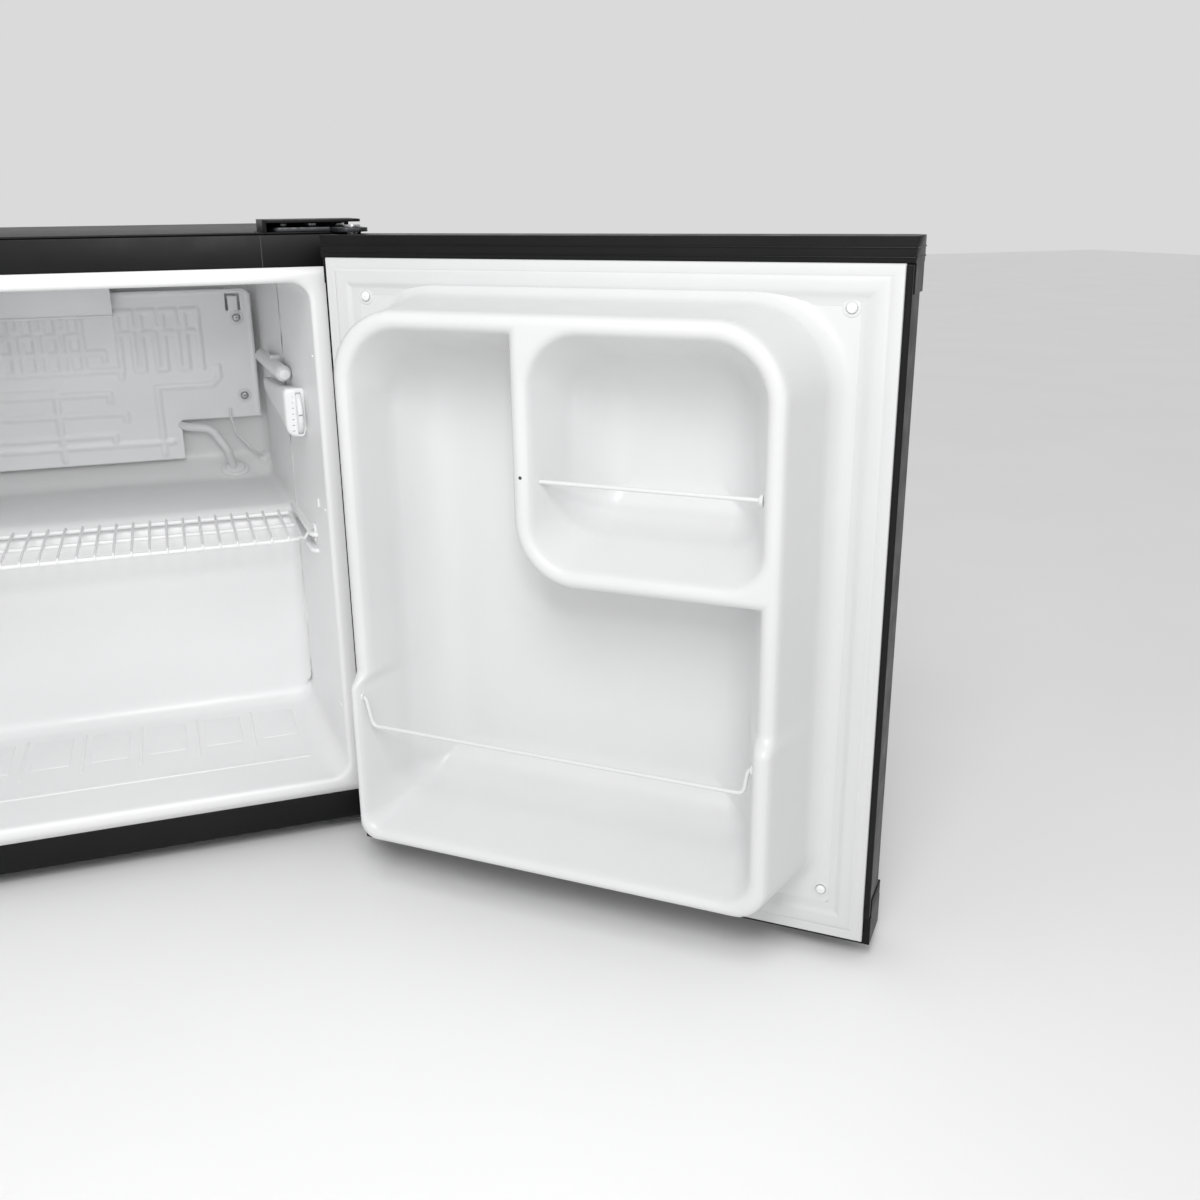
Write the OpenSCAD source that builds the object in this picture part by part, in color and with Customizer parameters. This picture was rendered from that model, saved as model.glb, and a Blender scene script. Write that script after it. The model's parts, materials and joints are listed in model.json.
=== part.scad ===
// Compact one-door refrigerator: insulated cabinet, open door with moulded pockets, wire shelf,
// roll-bond evaporator, thermostat, compressor bay and rear wire condenser.
// Frame: +Z up, +X to the hinge side, +Y to the back. The origin is on the floor, in the middle
// of the rear foot rail. Millimetres.

/* [Body] */
// Width of the cabinet and of the door
body_w = 445; // [435:1:455]
// Height of the cabinet's top above the floor
body_h = 529; // [525:1:535]
// Gap between the floor and the cabinet's base
foot_h = 14; // [12:1:16]
// Depth of the cabinet from its front plane to its back panel
cab_d = 428; // [424:1:434]
// Thickness of the sheet metal panels
sheet_t = 1.5; // [1:0.5:2]

/* [Cavity] */
// Half width of the cavity at its mouth
cav_hw = 178.4; // [174:0.2:180]
// How much each side wall leans inwards per millimetre of depth
draft = 0.049; // [0.03:0.005:0.06]
// Height of the cavity floor
floor_z = 55; // [53:1:58]
// Height of the cavity ceiling
ceil_z = 490; // [484:1:491]
// Height of the rear ledge's top
ledge_z = 261; // [255:1:265]
// Depth at which the lower back wall stands
step_y = 205; // [200:1:210]
// Depth at which the upper back wall stands
back_y = 377; // [370:1:380]
// Corner radius of the cavity's mouth
mouth_r = 15; // [10:1:20]

/* [Door] */
// Swing of the door from closed, as built
door_open = 138; // [90:1:150]
// Distance from the door's hinge edge to the hinge pin
pin_in = 12; // [11:0.5:14]
// Distance from the cabinet's front plane to the hinge pin
pin_out = 31; // [31:0.5:34]
// Thickness of the door, without its gasket
door_t = 46; // [44:1:48]
// Height of the moulded ridge above the gasket plane, by the upper pocket
ridge_up = 66; // [60:1:68]
// Height of the moulded ridge above the gasket plane, by the lower pocket
ridge_low = 76; // [70:1:78]
// Height at which the ridge steps from its low to its high part
jog_z = 200; // [190:1:210]

/* [Fittings] */
// Distance between the shelf's wires
wire_pitch = 15.1; // [12:0.1:20]
// Radius of the shelf's wires
wire_r = 1.25; // [1:0.05:1.5]
// Height of the shelf's cross rods
shelf_z = 256; // [255:0.5:257]
// Radius of the hinge pins
pin_r = 4; // [3:0.5:4.5]
// Running clearance of the pins and of the other turning parts
run_gap = 0.06; // [0.02:0.01:0.1]

/* [Hidden] */
$fn = 48;
half_w = body_w / 2;
in_w = half_w - sheet_t - 0.2;
rail_y = 400;
liner_t = 2;
flange_z0 = 41.3;
flange_z1 = 502.4;
pin_x = half_w - pin_in;
pin_y = -pin_out;
door_y0 = -51;
door_y1 = door_y0 + door_t;
door_z0 = foot_h + 0.8;
door_top = body_h - 1.6;
skin_hw = half_w - 2;
nose_r = 20;
bay_z = 222;
bay_y = 244;
ridge_l = -160;
ridge_r = 153;
ridge_b = 74;
ridge_t = 470;
pocket_z = 304;
gasket_z = 17.8;
gasket_seat = -8.4;
tube_end = [[115, 350, 294], [121.5, 370, 261]];
dial_r = 19;
dial_at = [169, 86.4, 374];
screw_at = [[138, 434.5], [138.5, 351.5]];

// Half width of the cavity at depth y
function cav_x(y) = cav_hw - draft * y;

// Points along an arc
function arc(cx, cy, r, a0, a1, n) =
    [for (i = [0:n]) let (a = a0 + (a1 - a0) * i / n) [cx + r * cos(a), cy + r * sin(a)]];

// Side outline of the cavity, depth by height, grown outwards by g
function cavity_side(g) = concat(
    [[-1, floor_z - g], [step_y + g - 18, floor_z - g]],
    arc(step_y + g - 18, floor_z - g + 18, 18, -90, 0, 6),
    arc(step_y + nose_r, ledge_z - nose_r, nose_r - g, 180, 90, 6),
    [[back_y - 16, ledge_z - g], [back_y + g, ledge_z + 22], [back_y + g, ceil_z + g],
        [-1, ceil_z + g]]);

// Moves a piece from the cabinet's own axes, with y = 0 at its front plane, to the part's frame
module placed() {
    translate([0, -rail_y, 0]) children();
}

// Moves a piece drawn on the closed door to the open door
module on_door() {
    placed()
        translate([pin_x, pin_y, 0])
            rotate([0, 0, door_open])
                translate([-pin_x, -pin_y, 0]) children();
}

// Box between two corners
module span(a, b) {
    translate(a) cube(b - a);
}

// Ten-sided bar that follows the given points, whose stretches run a little past each bend
module bar(pts, r) {
    last = len(pts) - 1;
    for (i = [0:last - 1]) {
        d = pts[i + 1] - pts[i];
        len = norm(d);
        back = i > 0 ? 0.5 * r : 0;
        ahead = i < last - 1 ? 0.5 * r : 0;
        translate(pts[i] - d * back / len)
            rotate([0, acos(d.z / len), atan2(d.y, d.x)])
                rotate([0, 0, i * 7]) cylinder(h = len + back + ahead, r = r, $fn = 10);
    }
}

// Plate standing across the cabinet, rounded at its corners, from depth y0 to y1
module standing(x0, x1, z0, z1, r, y0, y1) {
    translate([0, y1, 0])
        rotate([90, 0, 0])
            linear_extrude(y1 - y0) round_rect(x0, x1, z0, z1, r);
}

module round_rect(x0, x1, z0, z1, r) {
    translate([x0 + r, z0]) square([x1 - x0 - 2 * r, z1 - z0]);
    translate([x0, z0 + r]) square([x1 - x0, z1 - z0 - 2 * r]);
    for (x = [x0 + r, x1 - r], z = [z0 + r, z1 - r])
        translate([x, z]) circle(r = r);
}

// The cavity's space, grown outwards by g
module cavity(g) {
    x0 = cav_x(-1) + g;
    x1 = cav_x(back_y + g) + g;
    intersection() {
        translate([0, 0, floor_z - g - 1])
            linear_extrude(ceil_z - floor_z + 2 * g + 2)
                polygon([[-x0, -1], [x0, -1], [x1, back_y + g], [-x1, back_y + g]]);
        translate([-half_w, 0, 0])
            rotate([90, 0, 90]) linear_extrude(body_w) polygon(cavity_side(g));
        standing(-x0, x0, floor_z - g, ceil_z + g, mouth_r + g, -1, back_y + g);
    }
}

module side_panel(s) {
    x = s > 0 ? half_w - sheet_t : -half_w;
    color("#1b1b1d")
        placed() span([x, 0, foot_h], [x + sheet_t, cab_d, body_h - sheet_t - 0.1]);
}

module side_panel_left() {
    side_panel(-1);
}

module side_panel_right() {
    side_panel(1);
}

module top_panel() {
    color("#1b1b1d")
        placed() span([-half_w, 0, body_h - sheet_t], [half_w, cab_d, body_h]);
}

module back_panel() {
    color("#2a2a2c")
        placed() span([-in_w, cab_d - 1.8, bay_z + 4], [in_w, cab_d - 0.2, body_h - sheet_t - 0.2]);
}

module base_pan() {
    color("#2a2a2c")
        placed() difference() {
            span([-in_w, 14.4, foot_h], [in_w, cab_d, foot_h + sheet_t]);
            for (s = [-1, 1])
                translate([s * 185, 85, foot_h - 1]) cylinder(h = sheet_t + 2, r = 5 + run_gap);
        }
}

module front_top_band() {
    color("#151517")
        placed() span([-in_w, 0, flange_z1 + 0.2], [in_w, 14, body_h - sheet_t - 0.2]);
}

module front_bottom_band() {
    color("#151517")
        placed() span([-in_w, 0, foot_h], [in_w, 14, flange_z0 - 0.2]);
}

module inner_liner() {
    color("#f2f2f2")
        placed() difference() {
            union() {
                intersection() {
                    cavity(liner_t);
                    span([-half_w, 0, 0], [half_w, cab_d, body_h]);
                }
                span([-in_w, 0, flange_z0], [in_w, liner_t, flange_z1]);
            }
            cavity(0);
            // hole where the suction tube leaves through the sloping corner
            bar([tube_end[0], 1.5 * tube_end[1] - 0.5 * tube_end[0]], 5.6);
        }
}

// Ribs on the side walls that carry the shelf and keep it from tipping
module shelf_ribs() {
    color("#f2f2f2")
        placed()
            for (s = [-1, 1], z = [shelf_z - 8.5, shelf_z + 6.5])
                mirror([s < 0 ? 1 : 0, 0, 0])
                    translate([0, 0, z])
                        linear_extrude(4)
                            polygon([[cav_x(72) - 7, 72], [cav_x(72) - 0.2, 72],
                                [cav_x(203) - 0.2, 203], [cav_x(203) - 5, 203]]);
}

module foam_side(s) {
    g = liner_t + 0.3;
    color("#e8dcb4")
        placed() mirror([s < 0 ? 1 : 0, 0, 0]) {
            translate([0, 0, bay_z + 0.3])
                linear_extrude(ceil_z - bay_z + 2)
                    polygon([[cav_x(2.5) + g, 2.5], [in_w, 2.5], [in_w, cab_d - 2],
                        [cav_x(cab_d) + g, cab_d - 2]]);
            translate([0, 0, floor_z - 2])
                linear_extrude(bay_z - floor_z + 2.3)
                    polygon([[cav_x(2.5) + g, 2.5], [in_w, 2.5], [in_w, bay_y],
                        [cav_x(bay_y) + g, bay_y]]);
        }
}

module foam_left() {
    foam_side(-1);
}

module foam_right() {
    foam_side(1);
}

module foam_top() {
    color("#e8dcb4")
        placed() span([-in_w, 14.4, ceil_z + 2.6], [in_w, cab_d - 2, body_h - sheet_t - 0.2]);
}

module foam_floor() {
    color("#e8dcb4")
        placed() difference() {
            span([-in_w, 14.4, foot_h + sheet_t], [in_w, bay_y, floor_z - 2.3]);
            for (s = [-1, 1])
                translate([s * 185, 85, foot_h]) cylinder(h = 26, r = 5.5);
        }
}

module foam_back() {
    x = cav_x(cab_d) + 2;
    color("#e8dcb4")
        placed() span([-x, back_y + 2.5, bay_z + 38], [x, cab_d - 2, ceil_z + 2.3]);
}

module foam_hump() {
    x = cav_x(bay_y) + 2;
    color("#e8dcb4")
        placed() span([-x, step_y + 2.4, floor_z - 2], [x, bay_y, bay_z]);
}

module foam_roof() {
    x = cav_x(cab_d) + 2;
    nose_y = step_y + nose_r;
    nose_z = ledge_z - nose_r;
    color("#e8dcb4")
        placed() translate([-x, 0, 0])
            rotate([90, 0, 90])
                linear_extrude(2 * x)
                    polygon([[nose_y - 17.5, bay_z + 0.3], [nose_y - 17.5, nose_z],
                        [nose_y - 12.3, nose_z + 12.3], [nose_y, nose_z + 17.5],
                        [cab_d - 2, nose_z + 17.5], [cab_d - 2, bay_z + 0.3]]);
}

// Flat outline of the evaporator: a plate with a low corner on the left and two bent slots
module plate_outline() {
    difference() {
        union() {
            round_rect(-154.5, 154.5, 328.5, 464.5, 6);
            round_rect(-154.5, 71, 287, 345, 4);
        }
        for (s = [0, 1])
            mirror([s, 0]) translate([127.2, 442.6]) difference() {
                square([15.4, 17.4]);
                translate([2.4, -1]) square([10.6, 16]);
            }
        for (s = [-1, 1], p = screw_at)
            translate([s * p.x, p.y]) circle(r = 2.6);
    }
}

// Raised refrigerant channel on the evaporator, between two points
module channel(x0, x1, z0, z1) {
    standing(x0 - 4, x1 + 4, z0 - 4, z1 + 4, 3.9, 361, 362.6);
}

module evaporator_plate() {
    color("#e4e5e8")
        placed() {
            translate([0, 363.5, 0]) rotate([90, 0, 0]) linear_extrude(1.5) plate_outline();
            for (z = [372, 386, 400, 414, 428, 442])
                channel(-120, 112, z, z);
            for (x = [-100:40:20])
                channel(x, x, 300, 350);
        }
}

module evaporator_spacers() {
    color("#d0d0d2")
        placed()
            for (s = [-1, 1], p = screw_at)
                translate([s * p.x, back_y - 0.1, p.y])
                    rotate([90, 0, 0]) cylinder(h = back_y - 363.8, r = 5);
}

module evaporator_screws() {
    color("#8a8a8c")
        placed()
            for (s = [-1, 1], p = screw_at)
                translate([s * p.x, 361.9, p.y]) {
                    rotate([90, 0, 0]) cylinder(h = 2.4, r = 4);
                    rotate([-90, 0, 0]) cylinder(h = 1.6, r = 2.4);
                }
}

// Folded hanger that holds the evaporator under the ceiling
module ceiling_bracket() {
    color("#e4e5e8")
        placed() {
            span([-110, 345, 441], [16, 347, ceil_z - 0.3]);
            span([-110, 347, ceil_z - 2.3], [16, 360, ceil_z - 0.3]);
            span([-110, 345, 441], [16, 360.6, 443]);
        }
}

module suction_tube() {
    color("#ececec")
        placed() bar([[62, 355, 322], [98, 350, 320], tube_end[0], tube_end[1]], 4.2);
}

module tube_grommet() {
    color("#f0f0f0")
        placed() translate([121, 364.8, 270.7])
            rotate([54, 0, 0]) difference() {
                linear_extrude(5, center = true) round_rect(-15, 15, -9, 9, 8.9);
                translate([-1.3, -0.6, 0]) cylinder(h = 12, r = 6.2, center = true);
            }
}

// Capillary of the thermostat's sensor, from the plate to a plug in the rear corner
module sensor_tube() {
    color("#e6e6e6")
        placed() {
            bar([[121.5, 360, 336], [124, 359, 318], [131, 358, 303], [154.5, 368, 281]], 1.4);
            translate([154.5, 373.4, 278.8]) rotate([54, 0, 0]) cylinder(h = 7, r = 4.5);
        }
}

// Turns a cylinder's axis towards -X, centred on the thermostat's dial
module at_dial() {
    translate(dial_at) rotate([0, -90, 0]) children();
}

// Housing on the hinge-side wall: tall and round at its front, low and thin at its back, with a
// slot for the dial
module thermostat_housing() {
    color("#efefef")
        placed() difference() {
            hull() {
                standing(157, 173.8, 353, 396, 8.3, 79, 81);
                standing(155.5, 163.2, 363, 378, 3.8, 298, 300);
            }
            at_dial() cylinder(h = 5.4, r = dial_r + 0.5, center = true);
            at_dial() cylinder(h = 40, r = 3 + run_gap, center = true);
        }
}

// Round sleeve with a bright cap that holds the sensor along the wall
module sensor_conduit() {
    color("#f4f4f4")
        placed() translate([156.5, 300, 400.5])
            rotate([90, 0, 2.8]) {
                cylinder(h = 155, r = 7);
                translate([0, 0, 155]) cylinder(h = 8, r1 = 7, r2 = 5);
            }
}

// Wheel whose rim stands out of the housing's front
module thermostat_knob() {
    color("#fafafa")
        placed() {
            at_dial() cylinder(h = 4.4, r = dial_r, center = true);
            at_dial() translate([0, 0, -4.4]) cylinder(h = 12, r = 3);
        }
}

module wire_shelf() {
    w = 163;
    y0 = 92.2;
    y1 = 201;
    color("#f7f7f7")
        placed() {
            for (y = [y0, 148, y1])
                translate([-w + (y == y0 ? 8 : 0), y, shelf_z])
                    rotate([0, 90, 0]) cylinder(h = 2 * w - (y == y0 ? 16 : 0), r = 2.2);
            for (s = [-1, 1]) {
                translate([s * w, y0 + 8, shelf_z]) rotate([-90, 0, 0]) cylinder(h = y1 - y0 - 8, r = 2.2);
                translate([s * (w - 8), y0 + 8, shelf_z])
                    rotate([0, 0, s > 0 ? -90 : 180])
                        rotate_extrude(angle = 90) translate([8, 0]) circle(r = 2.2);
            }
            for (i = [-10:10])
                translate([i * wire_pitch, y0 - 1.4, shelf_z + 3.2])
                    rotate([-90, 0, 0]) cylinder(h = y1 - y0 + 2.8, r = wire_r);
        }
}

module compressor() {
    color("#1e1e20")
        placed() translate([95, 335, 0])
            rotate_extrude()
                polygon(concat([[0, 33], [52, 33]], arc(52, 43, 10, -90, 0, 4), [[62, 105], [64, 105],
                    [64, 110], [62, 110]], arc(22, 145, 40, 0, 90, 8), [[0, 185]]));
}

module compressor_feet() {
    color("#3a3a3c")
        placed() difference() {
            span([15, 275, 29.5], [175, 395, 32.8]);
            for (x = [28, 162], y = [288, 382])
                translate([x, y, 20]) cylinder(h = 20, r = 4);
        }
}

module compressor_grommets() {
    color("#202020")
        placed()
            for (x = [28, 162], y = [288, 382])
                translate([x, y, 0]) {
                    translate([0, 0, foot_h + sheet_t]) cylinder(h = 13.9, r = 9);
                    translate([0, 0, 29]) cylinder(h = 6, r = 3.9);
                    translate([0, 0, 33]) cylinder(h = 4, r = 7);
                }
}

module terminal_cover() {
    color("#2b2b2d")
        placed() standing(5, 30.5, 70, 130, 6, 308, 362);
}

// Suction and discharge lines between the compressor, the cavity and the condenser
module refrigerant_lines() {
    color("#b87333")
        placed() {
            bar([[95, 272.7, 120], [95, 258, 120], [95, 258, 218]], 3.2);
            bar([[120, 393, 80], [120, 410, 80], [-120, 410, 80], [-120, 410, 100.4]], 2.4);
        }
}

module filter_drier() {
    color("#c08a5a")
        placed() translate([-120, 410, 100.6]) {
            cylinder(h = 10, r1 = 3, r2 = 9);
            translate([0, 0, 10]) cylinder(h = 70, r = 9);
            translate([0, 0, 80]) cylinder(h = 10, r1 = 9, r2 = 3);
        }
}

// Serpentine of the rear condenser
module condenser_coil() {
    runs = 8;
    pitch = 30;
    color("#232325")
        placed() translate([0, 440, 252]) {
            for (i = [0:runs])
                translate([-185, 0, i * pitch]) rotate([0, 90, 0]) cylinder(h = 370, r = 2.4);
            for (i = [0:runs - 1])
                translate([i % 2 == 0 ? 185 : -185, 0, (i + 0.5) * pitch])
                    rotate([90, 0, 0])
                        rotate([0, 0, i % 2 == 0 ? -90 : 90])
                            rotate_extrude(angle = 180) translate([pitch / 2, 0]) circle(r = 2.4);
        }
}

module condenser_wires() {
    color("#232325")
        placed()
            for (i = [-9:9], y = [436.9, 443.1])
                translate([i * 19.5, y, 244]) cylinder(h = 256, r = 0.65);
}

module condenser_brackets() {
    color("#2b2b2d")
        placed()
            for (s = [-1, 1], z = [262, 480])
                span([s * 192 - 8, cab_d, z], [s * 192 + 8, cab_d + 8.8, z + 14]);
}

// Gland through which a supply cord would enter the compressor bay
module cord_inlet() {
    color("#202020")
        placed() translate([-175, 416, foot_h + sheet_t]) difference() {
            union() {
                cylinder(h = 22, r = 8);
                cylinder(h = 3, r = 12);
            }
            translate([0, 0, -1]) cylinder(h = 30, r = 3.6);
        }
}

// Plate screwed to the cabinet, with a narrow arm that holds the pin in front of it
module hinge_plate(z) {
    difference() {
        translate([0, 0, z])
            linear_extrude(3) {
                round_rect(152, half_w - 0.5, 3, 60, 8);
                round_rect(198, half_w - 0.5, pin_y - 11, 30, 8);
            }
        for (x = [165, 188, 211])
            translate([x, 45, z - 1]) cylinder(h = 5, r = 2.7);
    }
}

module top_hinge() {
    color("#262628")
        placed() difference() {
            hinge_plate(body_h + 0.2);
            translate([pin_x, pin_y, body_h - 1]) cylinder(h = 6, r = pin_r + 0.02);
        }
}

module hinge_pin(z0, z1, head_z) {
    translate([pin_x, pin_y, z0]) cylinder(h = z1 - z0, r = pin_r);
    translate([pin_x, pin_y, head_z]) cylinder(h = 2, r = pin_r + 2.5);
}

module top_hinge_pin() {
    color("#9a9a9c")
        placed() hinge_pin(body_h - 17.6, body_h + 3.4, body_h + 3.3);
}

module hinge_screws() {
    color("#9a9a9c")
        placed()
            for (x = [165, 188, 211], b = [0, 1])
                translate([x, 45, b == 0 ? body_h + 3.3 : foot_h - 3.3])
                    mirror([0, 0, b]) {
                        cylinder(h = 2.4, r = 4.4);
                        translate([0, 0, -3]) cylinder(h = 3.2, r = 2.5);
                    }
}

module hinge_cover() {
    color("#18181a")
        placed() difference() {
            translate([0, 0, body_h + 0.1])
                linear_extrude(9) round_rect(146, half_w - 0.1, -2, 66, 6);
            span([149, -3, body_h], [half_w + 1, 63, body_h + 7]);
        }
}

module bottom_hinge() {
    color("#262628")
        placed() difference() {
            hinge_plate(foot_h - 3.2);
            translate([pin_x, pin_y, foot_h - 5]) cylinder(h = 6, r = pin_r + 0.02);
        }
}

module bottom_hinge_pin() {
    color("#9a9a9c")
        placed() hinge_pin(foot_h - 3.3, foot_h + 22.4, foot_h - 5.3);
}

module rear_foot_rail() {
    color("#202020")
        placed() translate([0, rail_y, 0])
            linear_extrude(foot_h - 0.05) round_rect(-200, 200, -12, 12, 6);
}

module front_foot(s) {
    color("#202020")
        placed() translate([s * 185, 85, 0]) {
            cylinder(h = 3, r = 17);
            translate([0, 0, 3]) cylinder(h = 5, r1 = 17, r2 = 9);
            translate([0, 0, 8]) cylinder(h = 24, r = 5);
        }
}

module front_foot_left() {
    front_foot(-1);
}

module front_foot_right() {
    front_foot(1);
}

// Level outline of the door at its front edges, inset by g
module door_plan(g, y1) {
    round_rect(-skin_hw + g, skin_hw - g, door_y0 + g, y1 + 14, 11);
}

module door_skin() {
    color("#19191b")
        on_door()
            translate([0, 0, 38])
                linear_extrude(body_h - 18 - 38.2) difference() {
                    door_plan(0, door_y1);
                    door_plan(1, door_y1 + 20);
                    translate([-half_w, door_y1]) square([body_w, 30]);
                }
}

// End cap of the door: a slab across its full width with a lip down each side edge
module door_cap(z0, z1, lip0, lip1) {
    difference() {
        union() {
            translate([0, 0, z0])
                linear_extrude(z1 - z0)
                    intersection() {
                        round_rect(-half_w, half_w, door_y0 - 0.8, door_y1 + 30, 12);
                        translate([-half_w, -100]) square([body_w, 100 + door_y1]);
                    }
            for (s = [-1, 1])
                span([s * (half_w - 0.9) - 0.9, door_y0 + 12, lip0],
                    [s * (half_w - 0.9) + 0.9, door_y1 - 2, lip1]);
        }
        translate([pin_x, pin_y, z0 - 1]) cylinder(h = z1 - z0 + 2, r = 7.02);
    }
}

module door_top_cap() {
    color("#151517")
        on_door() door_cap(body_h - 18, door_top, body_h - 37, body_h - 17.9);
}

module door_bottom_cap() {
    color("#151517")
        on_door() difference() {
            door_cap(door_z0, 37.8, 37.7, 52);
            span([-217.4, gasket_seat, gasket_z - 0.4], [217.4, 0, 40]);
        }
}

module hinge_bushings() {
    color("#dddddd")
        on_door()
            for (b = [[body_h - 17.8, door_top - body_h + 17.6], [door_z0 + 0.2, 21.6]])
                translate([pin_x, pin_y, b[0]]) difference() {
                    cylinder(h = b[1], r = 7);
                    translate([0, 0, -1]) cylinder(h = b[1] + 2, r = pin_r + run_gap);
                }
}

module door_foam() {
    color("#e8dcb4")
        on_door()
            translate([0, 0, 38.2])
                linear_extrude(body_h - 18.4 - 38.2)
                    round_rect(-skin_hw + 1.2, skin_hw - 1.2, door_y0 + 1.2, -17.4, 11.5);
}

// Moulded ridge between two points on the door, standing v above the gasket plane
module ridge(a, b, v, w) {
    hull()
        for (p = [a, b])
            translate([-p.x, -14.9, p.y])
                rotate([-90, 0, 0]) cylinder(h = v + 14.9, r1 = w, r2 = 5, $fn = 32);
}

// All the ridges of the door's lining, cut to the stretches whose outlines are given
module ridges(stretches) {
    intersection() {
        union() {
            ridge([ridge_l, ridge_b], [ridge_l, jog_z], ridge_low, 13);
            ridge([ridge_l, jog_z], [ridge_l, 425], ridge_up, 13);
            ridge([ridge_l, 425], [-115, ridge_t], ridge_up, 13);
            ridge([-115, ridge_t], [110, ridge_t], ridge_up, 13);
            ridge([110, ridge_t], [ridge_r, 425], ridge_up, 16);
            ridge([ridge_r, 425], [ridge_r, jog_z], ridge_up, 16);
            ridge([ridge_r, jog_z], [ridge_r, ridge_b], ridge_low, 16);
            ridge([ridge_l, ridge_b], [ridge_r, ridge_b], ridge_low, 11);
            ridge([-24, 445], [-24, 330], ridge_up, 14);
            ridge([-24, 330], [0, pocket_z], ridge_up, 14);
            ridge([0, pocket_z], [ridge_r, pocket_z], ridge_up, 14);
        }
        for (q = stretches)
            translate([0, 100, 0])
                rotate([90, 0, 0])
                    linear_extrude(130)
                        translate([-q[1], q[2]]) square([q[1] - q[0], q[3] - q[2]]);
    }
}

// Each stretch is [low u, high u, low z, high z], u being the distance from the door's middle
module door_ridge_runs() {
    color("#f5f5f5")
        on_door()
            ridges([[-200, -125, jog_z, 425], [-115, 110, 448, 500], [125, 200, jog_z, 425],
                [-140, 130, 50, 95], [-50, 0, 280, 330]]);
}

module door_ridge_corners() {
    color("#f5f5f5")
        on_door()
            ridges([[-200, -140, 50, jog_z], [-200, -115, 425, 500], [110, 200, 425, 500],
                [130, 200, 50, jog_z], [-50, 0, 330, 448], [0, 125, 280, 330]]);
}

module door_liner() {
    color("#f5f5f5")
        on_door() standing(-skin_hw + 1.2, skin_hw - 1.2, 38.2, body_h - 18.4, 3, -17.3, -15);
}

// Four flat bars that carry the gasket and the screws
module door_liner_rim() {
    x = skin_hw - 1.2;
    top = body_h - 18.4;
    color("#f5f5f5")
        on_door() {
            for (s = [-1, 1])
                span([s * (x + 191) / 2 - (x - 191) / 2, -14.9, 38.2],
                    [s * (x + 191) / 2 + (x - 191) / 2, -8.4, top]);
            for (s = [-1, 1])
                span([s * 183.5 - 7.3, -14.9, 46], [s * 183.5 + 7.3, -4, 492]);
            span([-176, -14.9, 46], [176, -4, 57.8]);
            span([-176, -14.9, 487], [176, -4, 492]);
        }
}

module door_gasket() {
    color("#ededed")
        on_door() {
            difference() {
                standing(-208, 208, gasket_z + 8.5, 503, 4, gasket_seat + 0.2, -0.4);
                standing(-192, 192, gasket_z + 25, 493, 4, -9, 0);
            }
            difference() {
                standing(-217, 217, gasket_z, 511, 4, -4.9, -1.4);
                standing(-208.1, 208.1, gasket_z + 8.4, 503.1, 4, -9, 0);
            }
        }
}

module liner_screws() {
    color("#b0b0b2")
        on_door()
            for (s = [-1, 1], z = [55, 483])
                translate([s * 184, -3.9, z]) rotate([-90, 0, 0]) cylinder(h = 2, r = 3.4);
}

module upper_rail() {
    color("#fbfbfb")
        on_door() bar([[20, 51, 365], [-148, 51, 365]], 1.5);
}

// Rail of the lower pocket: its ends drop to the long run across the door
module lower_rail() {
    color("#fbfbfb")
        on_door()
            bar([[155, 60, 183], [151, 60, 166], [-137, 60, 166], [-141, 60, 184], [-148, 60, 186]],
                1.5);
}

side_panel_left();
side_panel_right();
top_panel();
back_panel();
base_pan();
front_top_band();
front_bottom_band();
inner_liner();
shelf_ribs();
foam_left();
foam_right();
foam_top();
foam_floor();
foam_back();
foam_hump();
foam_roof();
evaporator_plate();
evaporator_spacers();
evaporator_screws();
ceiling_bracket();
suction_tube();
tube_grommet();
sensor_tube();
thermostat_housing();
sensor_conduit();
thermostat_knob();
wire_shelf();
compressor();
compressor_feet();
compressor_grommets();
terminal_cover();
refrigerant_lines();
filter_drier();
condenser_coil();
condenser_wires();
condenser_brackets();
cord_inlet();
top_hinge();
top_hinge_pin();
hinge_screws();
hinge_cover();
bottom_hinge();
bottom_hinge_pin();
rear_foot_rail();
front_foot_left();
front_foot_right();
door_skin();
door_top_cap();
door_bottom_cap();
door_foam();
door_liner();
door_liner_rim();
door_ridge_runs();
door_ridge_corners();
door_gasket();
liner_screws();
upper_rail();
lower_rail();
hinge_bushings();
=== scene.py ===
"""Looks of the compact one-door refrigerator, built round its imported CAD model.

All lengths in this script are millimetres until they reach a mesh, where MM turns them into
metres. Cabinet axes: x to the hinge side, y = 0 at the cabinet's front plane and growing to the
back, z up from the floor. Door axes: u from the door's middle to its free side, v from the gasket
plane into the cabinet when the door is closed, z up from the floor.
"""

import json
import math

import bmesh
import bpy
import numpy as np
from mathutils import Matrix, Vector


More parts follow.
